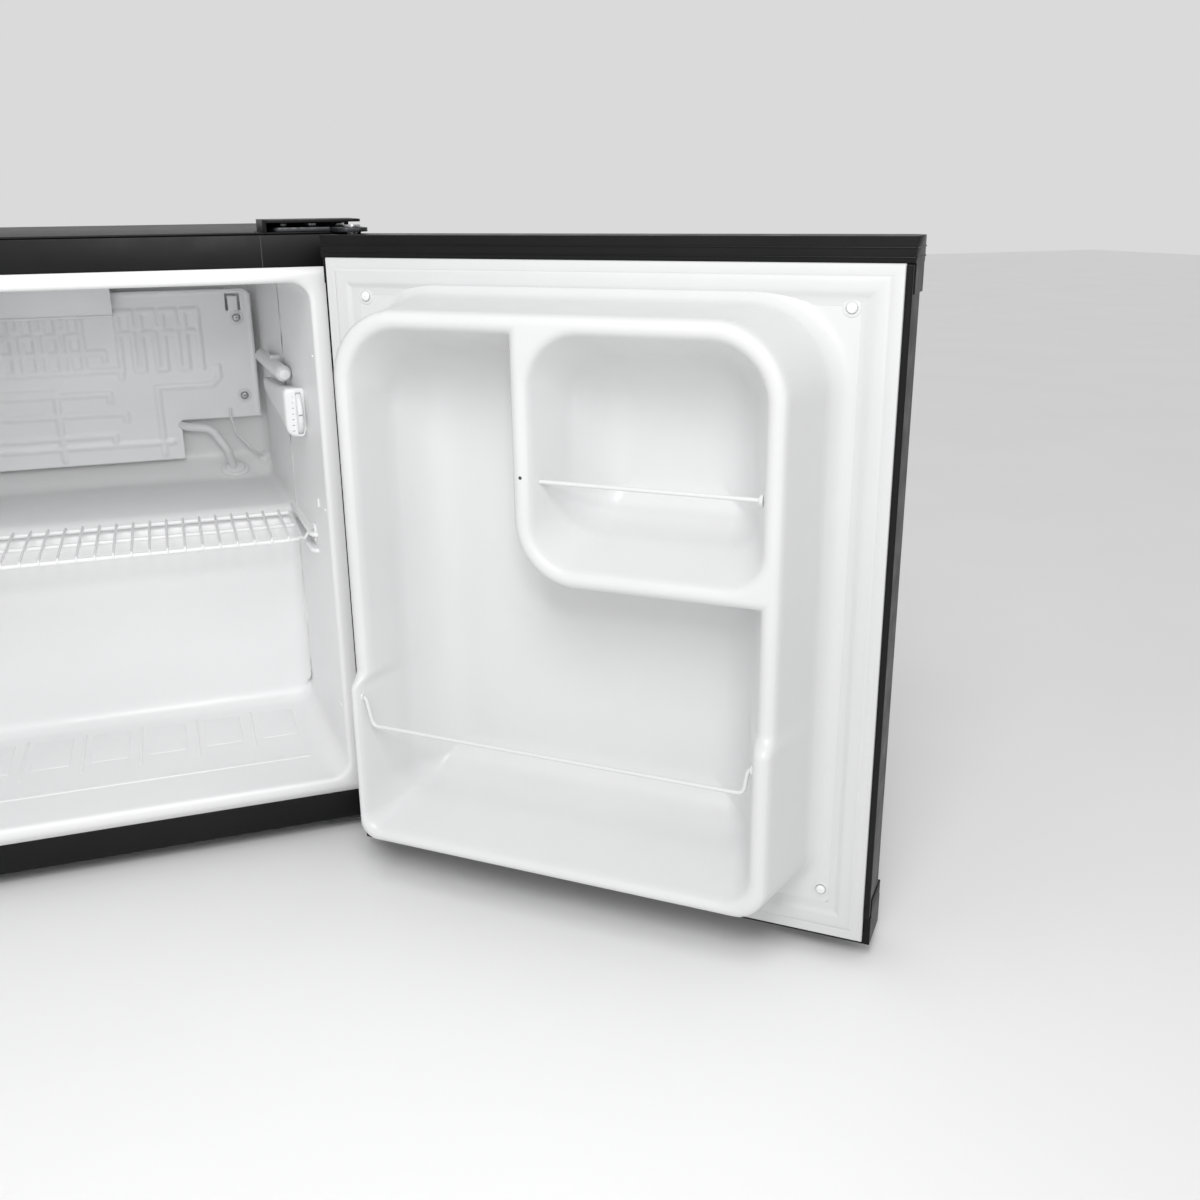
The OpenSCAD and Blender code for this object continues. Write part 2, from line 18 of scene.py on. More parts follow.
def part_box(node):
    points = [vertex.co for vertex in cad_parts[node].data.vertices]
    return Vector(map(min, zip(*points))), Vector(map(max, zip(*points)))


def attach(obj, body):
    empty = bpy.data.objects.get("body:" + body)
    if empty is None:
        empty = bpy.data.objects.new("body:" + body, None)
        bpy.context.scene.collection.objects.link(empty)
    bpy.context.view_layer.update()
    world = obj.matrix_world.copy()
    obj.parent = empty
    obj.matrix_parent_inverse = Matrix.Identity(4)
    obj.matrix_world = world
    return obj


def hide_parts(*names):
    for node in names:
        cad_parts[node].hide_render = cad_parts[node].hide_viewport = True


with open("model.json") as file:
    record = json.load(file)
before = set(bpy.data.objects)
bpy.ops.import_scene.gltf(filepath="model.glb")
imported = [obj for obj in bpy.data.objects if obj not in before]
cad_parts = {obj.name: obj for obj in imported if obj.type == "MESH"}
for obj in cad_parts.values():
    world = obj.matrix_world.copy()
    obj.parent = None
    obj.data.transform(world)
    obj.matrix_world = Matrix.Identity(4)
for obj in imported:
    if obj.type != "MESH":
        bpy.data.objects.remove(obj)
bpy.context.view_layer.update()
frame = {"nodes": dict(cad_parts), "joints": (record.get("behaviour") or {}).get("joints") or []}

# -------------------- places from the frame
MM = 0.001
FRONT_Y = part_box("front_top_band")[0].y
JOINTS = {j["name"]: j for j in frame["joints"]}
PIN = Vector(JOINTS["door_hinge"]["pos_m"])
DOOR_ANGLE = math.radians(-JOINTS["door_hinge"]["range_deg"][0])
OPEN_DOOR = (
    Matrix.Translation(Vector((PIN.x, PIN.y, 0)))
    @ Matrix.Rotation(DOOR_ANGLE, 4, "Z")
    @ Matrix.Translation(Vector((-PIN.x, -PIN.y, 0)))
)

# -------------------- driving sizes, millimetres
MOUTH_HALF = 178.4
DRAFT = 0.049
FLOOR_Z = 55
CEIL_Z = 490
LEDGE_Z = 261
STEP_Y = 205
BACK_Y = 377
NOSE_R = 20
FLANGE_HALF = 220.6
FLANGE_Z = (41.4, 502.3)
SHELF_Z = 256
SHELF_HALF = 163
SHELF_FRONT = 92.2
SHELF_BACK = 201
WIRE_PITCH = 15.1
PLATE_Y = 362
RIDGE_UP = 66
RIDGE_LOW = 76
JOG_Z = 200
RECESS_V = -15
GASKET_Z = 17.8
LINER_HALF = 219
LINER_Z = (38.5, 510.3)
GASKET_HALF = 217
GASKET_TOP = 511


def cab(x, y, z):
    """A point in cabinet millimetres, in the row frame."""
    return Vector((x * MM, FRONT_Y + y * MM, z * MM))


def door(u, v, z):
    """A point in door millimetres, on the open door, in the row frame."""
    return OPEN_DOOR @ Vector((-u * MM, FRONT_Y + v * MM, z * MM))


FORWARD = Vector((0, -1, 0))
BACKWARD = Vector((0, 1, 0))
DOOR_TURN = OPEN_DOOR.to_3x3()


def wall_x(y):
    """Half width of the cavity at depth y."""
    return MOUTH_HALF - DRAFT * y


# -------------------- materials
def new_material(name):
    mat = bpy.data.materials.new(name)
    mat.use_nodes = True
    tree = mat.node_tree
    return mat, tree, tree.nodes["Principled BSDF"]


def noise(tree, scale, detail=3.0, coords=None, stretch=(1, 1, 1)):
    """A noise texture in object space."""
    if coords is None:
        coords = tree.nodes.new("ShaderNodeTexCoord").outputs["Object"]
    mapping = tree.nodes.new("ShaderNodeMapping")
    mapping.inputs["Scale"].default_value = stretch
    tree.links.new(coords, mapping.inputs["Vector"])
    tex = tree.nodes.new("ShaderNodeTexNoise")
    tex.inputs["Scale"].default_value = scale
    tex.inputs["Detail"].default_value = detail
    tree.links.new(mapping.outputs["Vector"], tex.inputs["Vector"])
    return tex.outputs["Fac"]


def ramp(tree, fac, low, high, start=0.3, end=0.7):
    node = tree.nodes.new("ShaderNodeValToRGB")
    node.color_ramp.elements[0].position = start
    node.color_ramp.elements[1].position = end
    node.color_ramp.elements[0].color = (*low, 1)
    node.color_ramp.elements[1].color = (*high, 1)
    tree.links.new(fac, node.inputs["Fac"])
    return node.outputs["Color"]


def spread(tree, fac, low, high):
    """The factor mapped from 0.3..0.7 to low..high, for a roughness socket."""
    node = tree.nodes.new("ShaderNodeMapRange")
    node.inputs["From Min"].default_value = 0.3
    node.inputs["From Max"].default_value = 0.7
    node.inputs["To Min"].default_value = low
    node.inputs["To Max"].default_value = high
    tree.links.new(fac, node.inputs["Value"])
    return node.outputs["Result"]


def bump(tree, fac, strength, distance, normal=None):
    node = tree.nodes.new("ShaderNodeBump")
    node.inputs["Strength"].default_value = strength
    node.inputs["Distance"].default_value = distance
    tree.links.new(fac, node.inputs["Height"])
    if normal is not None:
        tree.links.new(normal, node.inputs["Normal"])
    return node.outputs["Normal"]


def plastic(name, low, high, rough, grain, grain_depth, wave=0.0, coat=0.0, patch=9.0, gloss=0.5):
    """Moulded plastic: slow colour drift, uneven gloss, fine grain and a slow surface wave."""
    mat, tree, shader = new_material(name)
    drift = noise(tree, patch, 4)
    tree.links.new(ramp(tree, drift, low, high), shader.inputs["Base Color"])
    smear = noise(tree, patch * 5, 5)
    tree.links.new(spread(tree, smear, rough * 0.85, rough * 1.2), shader.inputs["Roughness"])
    fine = noise(tree, grain, 2)
    normal = bump(tree, fine, 0.25, grain_depth)
    if wave:
        slow = noise(tree, 22, 1)
        normal = bump(tree, slow, 0.35, wave, normal)
    tree.links.new(normal, shader.inputs["Normal"])
    shader.inputs["Coat Weight"].default_value = coat
    shader.inputs["Coat Roughness"].default_value = 0.12
    shader.inputs["Specular IOR Level"].default_value = gloss
    return mat


def metal(
    name, low, high, rough, stretch=(1, 1, 1), grain=400, depth=0.00003, patch=14.0, metallic=1.0
):
    """Bare or coated metal with streaks along one direction."""
    mat, tree, shader = new_material(name)
    drift = noise(tree, patch, 5)
    tree.links.new(ramp(tree, drift, low, high), shader.inputs["Base Color"])
    streak = noise(tree, grain, 3, stretch=stretch)
    tree.links.new(spread(tree, streak, rough * 0.7, rough * 1.35), shader.inputs["Roughness"])
    tree.links.new(bump(tree, streak, 0.3, depth), shader.inputs["Normal"])
    shader.inputs["Metallic"].default_value = metallic
    return mat


def pebbled(name, low, high, rough, cell, depth):
    """Coated sheet steel with an embossed pebble grain."""
    mat, tree, shader = new_material(name)
    coords = tree.nodes.new("ShaderNodeTexCoord").outputs["Object"]
    cells = tree.nodes.new("ShaderNodeTexVoronoi")
    cells.feature = "SMOOTH_F1"
    cells.inputs["Scale"].default_value = cell
    tree.links.new(coords, cells.inputs["Vector"])
    drift = noise(tree, 8, 4, coords)
    tree.links.new(ramp(tree, drift, low, high), shader.inputs["Base Color"])
    smear = noise(tree, 60, 4, coords)
    tree.links.new(spread(tree, smear, rough * 0.93, rough * 1.08), shader.inputs["Roughness"])
    tree.links.new(bump(tree, cells.outputs["Distance"], 0.35, depth), shader.inputs["Normal"])
    shader.inputs["Specular IOR Level"].default_value = 0.2
    return mat


def foam_material():
    """Rigid insulating foam with its open cells."""
    mat, tree, shader = new_material("rigid_foam")
    cells = tree.nodes.new("ShaderNodeTexVoronoi")
    cells.inputs["Scale"].default_value = 500
    tree.links.new(tree.nodes.new("ShaderNodeTexCoord").outputs["Object"], cells.inputs["Vector"])
    colour = ramp(tree, cells.outputs["Distance"], (0.62, 0.5, 0.25), (0.78, 0.68, 0.42), 0.0, 0.6)
    tree.links.new(colour, shader.inputs["Base Color"])
    tree.links.new(bump(tree, cells.outputs["Distance"], 0.6, 0.0006), shader.inputs["Normal"])
    shader.inputs["Roughness"].default_value = 0.9
    return mat


# The door's lining and gasket are the same white plastic as the cavity, painted greyer as shade
# only to match the photograph's tones
M = {
    "liner": plastic(
        "white_liner", (0.85, 0.852, 0.856), (0.87, 0.872, 0.875), 0.36, 900, 0.00001,
        wave=0.0002, coat=0.05
    ),
    "door_liner": plastic(
        "white_door_liner_painted_shade", (0.67, 0.672, 0.676), (0.695, 0.697, 0.7), 0.36, 1100, 0.00002,
        wave=0.0005, coat=0.1
    ),
    "white": plastic(
        "white_plastic", (0.82, 0.825, 0.83), (0.87, 0.872, 0.875), 0.34, 1500, 0.00003
    ),
    "gasket": plastic(
        "gasket_vinyl_painted_shade", (0.64, 0.642, 0.646), (0.665, 0.667, 0.67), 0.5, 1300, 0.00005
    ),
    "wire": plastic(
        "white_wire", (0.88, 0.882, 0.885), (0.91, 0.911, 0.912), 0.34, 1800, 0.00004,
        coat=0.1, patch=25
    ),
    "trim": plastic(
        "black_trim", (0.004, 0.004, 0.0045), (0.008, 0.008, 0.0085), 0.4, 1400, 0.00003, gloss=0.2
    ),
    "sheet": pebbled(
        "black_sheet", (0.004, 0.004, 0.0045), (0.008, 0.008, 0.0085), 0.42, 620, 0.00012
    ),
    "rubber": plastic(
        "black_rubber", (0.015, 0.015, 0.015), (0.03, 0.029, 0.028), 0.75, 900, 0.00015
    ),
    "plate": metal(
        "coated_plate", (0.9, 0.907, 0.92), (0.94, 0.944, 0.952), 0.42, (1, 1, 6), 500, 0.00002,
        patch=12, metallic=0.12
    ),
    "screw": metal("screw_steel", (0.34, 0.34, 0.35), (0.6, 0.6, 0.61), 0.3, grain=900),
    "dark_steel": metal(
        "dark_steel", (0.05, 0.052, 0.056), (0.075, 0.077, 0.08), 0.42, (1, 8, 1), 300
    ),
    "compressor": plastic(
        "compressor_paint", (0.008, 0.008, 0.009), (0.018, 0.018, 0.019), 0.3, 260, 0.00025,
        wave=0.0004, coat=0.3
    ),
    "coil": plastic(
        "coil_paint", (0.012, 0.012, 0.013), (0.028, 0.028, 0.029), 0.45, 700, 0.0001, patch=30
    ),
    "copper": metal(
        "copper_tube", (0.5, 0.22, 0.12), (0.85, 0.48, 0.3), 0.28, grain=200, patch=30
    ),
    "foam": foam_material(),
    "ink": plastic("grey_ink", (0.3, 0.31, 0.32), (0.36, 0.37, 0.38), 0.5, 900, 0.00001),
    "slot": plastic("slot_painted_shade", (0.42, 0.425, 0.43), (0.48, 0.485, 0.49), 0.6, 900, 0.00001),
    # painted shade for the shelf hook holes, the screws' cross recesses and the pin hole, and the
    # colour of the top band's seam line
    "seam_and_hollow_shade": plastic("slot_shade", (0.03, 0.03, 0.032), (0.06, 0.06, 0.062), 0.7, 900, 0.00001),
}


# -------------------- mesh helpers
def circle(count):
    """Cosine and sine of equal steps round a circle."""
    turns = [2 * math.pi * k / count for k in range(count)]
    return [(math.cos(a), math.sin(a)) for a in turns]


def mesh_object(name, verts, faces, mat, smooth=True):
    """A clean mesh from row-frame points, with one material from M."""
    mesh = bpy.data.meshes.new(name)
    mesh.from_pydata([tuple(v) for v in verts], [], faces)
    mesh.validate()
    bm = bmesh.new()
    bm.from_mesh(mesh)
    bmesh.ops.remove_doubles(bm, verts=bm.verts, dist=1e-6)
    bmesh.ops.recalc_face_normals(bm, faces=bm.faces)
    bm.to_mesh(mesh)
    bm.free()
    mesh.materials.append(M[mat])
    obj = bpy.data.objects.new(name, mesh)
    bpy.context.scene.collection.objects.link(obj)
    mesh.polygons.foreach_set("use_smooth", [smooth] * len(mesh.polygons))
    return obj


def sharpen(obj, degrees=35):
    """Smooth shading that stays crisp over edges steeper than the given angle."""
    obj.data.set_sharp_from_angle(angle=math.radians(degrees))
    return obj


def bevel(obj, width, segments=3, degrees=35):
    """Rounds the edges steeper than the given angle. width is in millimetres."""
    weld = obj.modifiers.new("weld", "WELD")
    weld.merge_threshold = 1e-6
    mod = obj.modifiers.new("bevel", "BEVEL")
    mod.width = width * MM
    mod.segments = segments
    mod.limit_method = "ANGLE"
    mod.angle_limit = math.radians(degrees)
    mod.harden_normals = True
    obj.data.polygons.foreach_set("use_smooth", [True] * len(obj.data.polygons))
    return obj


def piece(obj, body, slot, *nodes):
    """Puts a new piece on its body and hides the CAD nodes that it stands for; slot is not used."""
    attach(obj, body)
    if nodes:
        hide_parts(*nodes)
    return obj


def block(name, low, high, place, mat, width=0.8, segments=3):
    """A rounded block between two corners, in the place function's axes."""
    xs, ys, zs = zip(low, high)
    verts = [place(x, y, z) for z in zs for y in ys for x in xs]
    faces = [(0, 1, 3, 2), (4, 6, 7, 5), (0, 4, 5, 1), (2, 3, 7, 6), (0, 2, 6, 4), (1, 5, 7, 3)]
    return bevel(mesh_object(name, verts, faces, mat), width, segments)


def fillet_path(points, radius, steps=6):
    """The points as a path whose corners are arcs of about the given radius."""
    pts = [Vector(p) for p in points]
    out = [pts[0]]
    for before, corner, after in zip(pts, pts[1:], pts[2:]):
        a = (before - corner).normalized()
        b = (after - corner).normalized()
        half = a.angle(b) / 2
        room = 0.49 * min((before - corner).length, (after - corner).length)
        cut = min(radius / math.tan(half), room)
        for i in range(steps + 1):
            t = i / steps
            p, q = corner + a * cut, corner + b * cut
            out.append(p * (1 - t) ** 2 + corner * 2 * t * (1 - t) + q * t**2)
    out.append(pts[-1])
    return out


def tube(name, path, radius, mat, sides=14, closed=False):
    """A round bar along a path of row-frame points, with domed ends. radius is in millimetres."""
    pts = [Vector(p) for p in path]
    count = len(pts)
    radii = [radius] * count
    if not closed:
        first = (pts[1] - pts[0]).normalized()
        last = (pts[-1] - pts[-2]).normalized()
        dome = [(0.5, 0.87), (0.87, 0.5), (1.0, 0.08)]
        pts = (
            [pts[0] - first * radius * MM * out for out, _ in reversed(dome)]
            + pts
            + [pts[-1] + last * radius * MM * out for out, _ in dome]
        )
        radii = [radius * r for _, r in reversed(dome)] + radii + [radius * r for _, r in dome]
        count = len(pts)
    tangents = []
    for i in range(count):
        ahead = pts[(i + 1) % count] if closed or i < count - 1 else pts[i]
        behind = pts[i - 1] if closed or i else pts[i]
        tangents.append((ahead - behind).normalized())
    side = tangents[0].orthogonal().normalized()
    verts = []
    for p, t, r in zip(pts, tangents, radii):
        side = (side - t * side.dot(t)).normalized()
        other = t.cross(side)
        verts += [p + (side * c + other * s) * r * MM for c, s in circle(sides)]
    faces = []
    rings = count if closed else count - 1
    for i in range(rings):
        j = (i + 1) % count
        for k in range(sides):
            n = (k + 1) % sides
            faces.append((i * sides + k, i * sides + n, j * sides + n, j * sides + k))
    if not closed:
        faces.append(tuple(range(sides)))
        faces.append(tuple((count - 1) * sides + k for k in reversed(range(sides))))
    return mesh_object(name, verts, faces, mat)


def loft(name, loops, mat, cap_first=False, cap_last=False):
    """Skin over loops of equal length, each a closed list of row-frame points."""
    size = len(loops[0])
    verts = [p for loop in loops for p in loop]
    faces = []
    for i in range(len(loops) - 1):
        for k in range(size):
            n = (k + 1) % size
            faces.append((i * size + k, i * size + n, (i + 1) * size + n, (i + 1) * size + k))
    if cap_first:
        faces.append(tuple(reversed(range(size))))
    if cap_last:
        faces.append(tuple((len(loops) - 1) * size + k for k in range(size)))
    return mesh_object(name, verts, faces, mat)


def turned(name, profile, place, axis, mat, sides=32):
    """A turned piece: profile is (distance along axis, radius) in millimetres from place."""
    axis = Vector(axis).normalized()
    side = axis.orthogonal().normalized()
    other = axis.cross(side)
    loops = []
    for along, r in profile:
        middle = place + axis * along * MM
        loops.append([middle + (side * c + other * s) * r * MM for c, s in circle(sides)])
    return sharpen(loft(name, loops, mat, True, True), 40)


def join(name, objs):
    """Several meshes as one, with their modifiers applied."""
    verts, faces = [], []
    mats, index = [], []
    dg = bpy.context.evaluated_depsgraph_get()
    for o in objs:
        ev = o.evaluated_get(dg)
        m = ev.to_mesh()
        base = len(verts)
        verts += [o.matrix_world @ v.co for v in m.vertices]
        for p in m.polygons:
            faces.append([base + i for i in p.vertices])
            index.append(len(mats))
        mats.append(o.data.materials[0])
        ev.to_mesh_clear()
    mesh = bpy.data.meshes.new(name)
    mesh.from_pydata([tuple(v) for v in verts], [], faces)
    for m in mats:
        mesh.materials.append(m)
    mesh.polygons.foreach_set("material_index", index)
    mesh.polygons.foreach_set("use_smooth", [True] * len(mesh.polygons))
    for o in objs:
        bpy.data.objects.remove(o)
    obj = bpy.data.objects.new(name, mesh)
    bpy.context.scene.collection.objects.link(obj)
    return sharpen(obj, 40)


# -------------------- rounded rectangles
def rect_loop(x0, x1, z0, z1, radii, arc_steps=6, along_x=10, along_z=10, crowd=0.0):
    """Counter-clockwise rounded rectangle: radii from the low left corner, counter-clockwise.
    Each straight side is cut into equal stretches; crowd adds points close to its ends."""
    corners = [(x0, z0, 180), (x1, z0, 270), (x1, z1, 0), (x0, z1, 90)]
    signs = [(1, 1), (-1, 1), (-1, -1), (1, -1)]
    out = []
    ends = []
    for (cx, cz, start), (sx, sz), r in zip(corners, signs, radii):
        mx, mz = cx + sx * r, cz + sz * r
        arc = []
        for i in range(arc_steps + 1):
            a = math.radians(start + 90 * i / arc_steps)
            arc.append((mx + r * math.cos(a), mz + r * math.sin(a)))
        ends.append(arc)
    for i, arc in enumerate(ends):
        out += arc
        nxt = ends[(i + 1) % 4][0]
        n = along_x if i % 2 == 0 else along_z
        cuts = [k / n for k in range(1, n)]
        if crowd:
            near = [crowd * f / math.dist(arc[-1], nxt) for f in (0.25, 0.5, 0.75, 1.0)]
            between = [near[-1] + (1 - 2 * near[-1]) * c for c in cuts]
            cuts = near + between + [1 - c for c in reversed(near)]
        for t in cuts:
            out.append((arc[-1][0] * (1 - t) + nxt[0] * t, arc[-1][1] * (1 - t) + nxt[1] * t))
    return out


def rect_distance(u, z, u0, u1, z0, z1, radii):
    """Signed distance to a rounded rectangle, negative inside. radii: low left, low right,
    top right, top left."""
    mu, mz = (u0 + u1) / 2, (z0 + z1) / 2
    left = u < mu
    low = z < mz
    r = np.where(low, np.where(left, radii[0], radii[1]), np.where(left, radii[3], radii[2]))
    du = np.abs(u - mu) - (u1 - u0) / 2 + r
    dz = np.abs(z - mz) - (z1 - z0) / 2 + r
    outside = np.hypot(np.maximum(du, 0), np.maximum(dz, 0))
    return outside + np.minimum(np.maximum(du, dz), 0) - r


def rounded_ramp(t, w=0.16):
    """0 to 1 with both ends eased over a share w."""
    t = -w + np.clip(t, 0, 1) * (1 + 2 * w)
    low = (t + w) ** 2 / (4 * w)
    high = 1 - (1 + w - t) ** 2 / (4 * w)
    return np.where(t < w, low, np.where(t > 1 - w, high, t))


# -------------------- cabinet
def cavity_slice(y, low_z, inset=0.0, low_r=16.0, grow=0.0):
    """One loop of the cavity at depth y, with its floor at low_z."""
    half = wall_x(y) - inset + grow
    high_r = max(15 - inset * 0.3, 6)
    radii = (low_r, low_r, high_r, high_r)
    loop = rect_loop(-half, half, low_z - grow, CEIL_Z - inset + grow, radii, 6, 16, 12, 14)
    return [(x, y, z) for x, z in loop]


def cavity_liner():
    """The moulded cavity: flange, rolled mouth, floor, lower back wall, ledge and upper back."""
    loops = []
    rim = rect_loop(-FLANGE_HALF, FLANGE_HALF, *FLANGE_Z, (1, 1, 1, 1), 6, 16, 12, 14)
    loops.append([(x, 0, z) for x, z in rim])
    lip = 4.5
    for i in range(6):
        a = math.radians(18 * i)
        depth, grow = lip - lip * math.cos(a), lip - lip * math.sin(a)
        loops.append(cavity_slice(depth, FLOOR_Z, 0, 15, grow))
    for y in (8, 20, 40, 70, 100, 130, 160, 180):
        loops.append(cavity_slice(y, FLOOR_Z))
    foot_r = 18
    for i in range(1, 8):
        a = math.radians(i * 90 / 7)
        y = STEP_Y - foot_r + foot_r * math.sin(a)
        loops.append(cavity_slice(y, FLOOR_Z + foot_r - foot_r * math.cos(a)))
    for z in (85, 110, 140, 170, 200, 225, LEDGE_Z - NOSE_R):
        loops.append(cavity_slice(STEP_Y, z))
    for i in range(1, 9):
        a = math.radians(i * 90 / 8)
        y = STEP_Y + NOSE_R - NOSE_R * math.cos(a)
        loops.append(cavity_slice(y, LEDGE_Z - NOSE_R + NOSE_R * math.sin(a), 0, 16 - i))
    for y in (240, 270, 300, 330):
        loops.append(cavity_slice(y, LEDGE_Z, 0, 8))
    # the ledge turns up into the upper back wall
    slope = [(352, 261), (357, 262), (361, 264), (365, 268), (369, 273.5)]
    slope += [(372, 278), (374.5, 282.5), (376, 287), (BACK_Y, 293)]
    back_r = 12
    for y, z in slope:
        reach = max(y - (BACK_Y - back_r), 0)
        inset = back_r - math.sqrt(max(back_r**2 - reach**2, 0))
        loops.append(cavity_slice(y, z, inset, 8))
    # the corner between the lower back wall and the side walls is rounded too
    corner = 14
    for loop in loops:
        for i, (x, y, z) in enumerate(loop):
            gap = wall_x(y) - abs(x)
            if abs(y - STEP_Y) < 1.5 and gap < corner:
                loop[i] = (x, y - corner + math.sqrt(max(corner**2 - (corner - gap) ** 2, 0)), z)
    skin = [[cab(*p) for p in loop] for loop in loops]
    shell = loft("cavity_liner_shell", skin, "liner", False, True)
    flange = shell.data.polygons[0]
    solid = shell.modifiers.new("wall", "SOLIDIFY")
    solid.thickness = 1.6 * MM
    solid.offset = 1.0 if flange.normal.y > 0 else -1.0
    sharpen(shell, 60)
    return piece(shell, "cabinet", "white_liner", "inner_liner")


def floor_mouldings():
    """Shallow raised forms pressed into the cavity's floor."""
    parts = []
    z = FLOOR_Z - 1.2
    pitch, pad_width, bar_width = 52, 34, 3
    for i in range(6):
        x = -150 + pitch * i
        low, high = (x, 112, z), (x + pad_width, 176, z + 1.8)
        parts.append(block(f"pad{i}", low, high, cab, "liner", 2.0, 4))
    for i in range(5):
        x = -107 + pitch * i
        low, high = (x, 92, z), (x + bar_width, 182, z + 1.9)
        parts.append(block(f"bar{i}", low, high, cab, "liner", 1.1, 3))
    parts.append(block("sill", (-150, 55, z), (150, 61, z + 2.2), cab, "liner", 1.3, 4))
    return piece(join("floor_mouldings", parts), "cabinet", "white_liner")


def wall_mouldings():
    """Shelf ribs, the front hook holes and the other marks on the side walls."""
    parts = []
    for s in (-1, 1):
        for k, z in enumerate((SHELF_Z - 8.5, SHELF_Z + 6.5)):
            loops = []
            for y, reach in ((70, 0.5), (72, 4.5), (76, 6.6), (120, 6.2), (200, 5), (203, 2)):
                x = wall_x(y) + 0.6
                loop = rect_loop(x - reach - 0.6, x, z, z + 4, (1.6, 0.3, 0.3, 1.6), 4, 2, 2)
                loops.append([cab(s * px, y, pz) for px, pz in loop])
            parts.append(loft(f"rib{s}{k}", loops, "liner", True, True))
        x = wall_x(50)
        low, high = (s * (x - 1.0), 46, 296), (s * (x + 0.8), 54, 303)
        parts.append(block(f"stop{s}", low, high, cab, "liner", 0.8, 3))
        near, far = 12, 26
        for k, z in enumerate((120, 300, 430)):
            low = (s * (wall_x(far) - 0.2), near, z)
            high = (s * (wall_x(near) + 0.8), far, z + 1.6)
            parts.append(block(f"line{s}{k}", low, high, cab, "liner", 0.3, 2))
    piece(join("wall_mouldings", parts), "cabinet", "white_liner", "shelf_ribs")
    # the square holes just above the shelf, each with a raised rim; each hole is a dark block,
    # painted shade
    holes = []
    x = wall_x(82)
    for s in (-1, 1):
        low, high = (s * (x - 0.35), 77, 259), (s * (x + 0.8), 89, 271)
        holes.append(block(f"hole{s}", low, high, cab, "seam_and_hollow_shade", 0.3, 2))
    piece(join("shelf_hook_holes", holes), "cabinet", "black_trim")
    rims = []
    ring = rect_loop(75.5, 90.5, 257.5, 272.5, (3, 3, 3, 3), 5, 3, 3)
    for s in (-1, 1):
        path = [cab(s * (x - 0.6), y, z) for y, z in ring]
        rims.append(tube(f"rim{s}", path, 1.1, "liner", 8, True))
    piece(join("shelf_hook_rims", rims), "cabinet", "white_liner")


def channel_lines():
    """Middle lines of the cold plate's raised channels, in x and z."""
    first, pitch, width = 18, 22, 14
    lines = []
    for s in (-1, 1):
        for base, top in ((428, 444), (384, 422)):
            pts = []
            for i in range(4):
                x = first + pitch * i
                pts += [(x, base), (x, top), (x + width, top), (x + width, base)]
            lines.append([(s * x, z) for x, z in pts])
        riser = ((50, 294), (50, 365), (106, 365), (114, 373), (114, 384))
        lines.append([(s * x, z) for x, z in riser])
    for k, z in enumerate((404, 385, 361, 340, 317)):
        end = 2 + (k % 2) * width
        lines.append([(-118, z), (end, z), (end, z - 8)])
    for k, z in enumerate((404, 361)):
        lines.append([(-118, z), (-126, z - 5), (-126, z - 16), (-118, z - 20)])
    lines.append([(-126, 306), (60, 306)])
    return lines


def cold_plate():
    """Roll-bond plate: a grid whose raised channels follow their middle lines."""
    step = 1.25
    half, low, high = 154.5, 287, 464.5
    # past corner_x the plate ends at corner_z, and only its low part reaches down to low
    corner_x, corner_z = 71, 328.5
    channel_rise, channel_half = 1.3, 3.8
    bead_rise, bead_inset, bead_half = 0.8, 3, 1.6
    # the three-sided slot of each hook: its near side's x, its size, and the width of the cut
    hook_x, hook_size, hook_low, hook_high, hook_cut = 127.5, 15, 442.5, 460, 2.5
    x = np.arange(-half, half + step / 2, step)
    z = np.arange(low, high + step / 2, step)
    gx, gz = np.meshgrid(x, z, indexing="ij")
    near = np.full(gx.shape, 1e9)
    for line in channel_lines():
        for (ax, az), (bx, bz) in zip(line, line[1:]):
            dx, dz = bx - ax, bz - az
            t = np.clip(((gx - ax) * dx + (gz - az) * dz) / (dx * dx + dz * dz), 0, 1)
            near = np.minimum(near, np.hypot(gx - ax - t * dx, gz - az - t * dz))
    rise = channel_rise * np.clip(1 - (near / channel_half) ** 2, 0, 1) ** 0.9
    edge = rect_distance(gx, gz, -half, half, low, high, (3, 3, 8, 8))
    bead = bead_rise * np.exp(-(((edge + bead_inset) / bead_half) ** 2))
    rise += bead * (gz > corner_z + 2.5)
    index = -np.ones(gx.shape, int)
    verts, faces = [], []

    def vertex(i, j):
        if index[i, j] < 0:
            index[i, j] = len(verts)
            verts.append(cab(gx[i, j], PLATE_Y - rise[i, j], gz[i, j]))
        return int(index[i, j])

    for i in range(len(x) - 1):
        for j in range(len(z) - 1):
            cx, cz = x[i] + step / 2, z[j] + step / 2
            beside_low_part = cx > corner_x and cz < corner_z
            if beside_low_part or edge[i, j] > 0.4 or edge[i + 1, j + 1] > 0.4:
                continue
            hook = abs(cx) - hook_x
            in_hook = 0 < hook < hook_size and hook_low < cz < hook_high
            on_tab = hook_cut < hook < hook_size - hook_cut and cz < hook_high - hook_cut
            if in_hook and not on_tab:
                continue
            faces.append((vertex(i, j), vertex(i + 1, j), vertex(i + 1, j + 1), vertex(i, j + 1)))
    plate = mesh_object("cold_plate_sheet", verts, faces, "plate")
    solid = plate.modifiers.new("gauge", "SOLIDIFY")
    solid.thickness = 1.3 * MM
    solid.offset = -1.0 if plate.data.polygons[0].normal.y < 0 else 1.0
    sharpen(plate, 70)
    return piece(plate, "cabinet", "plate", "evaporator_plate")


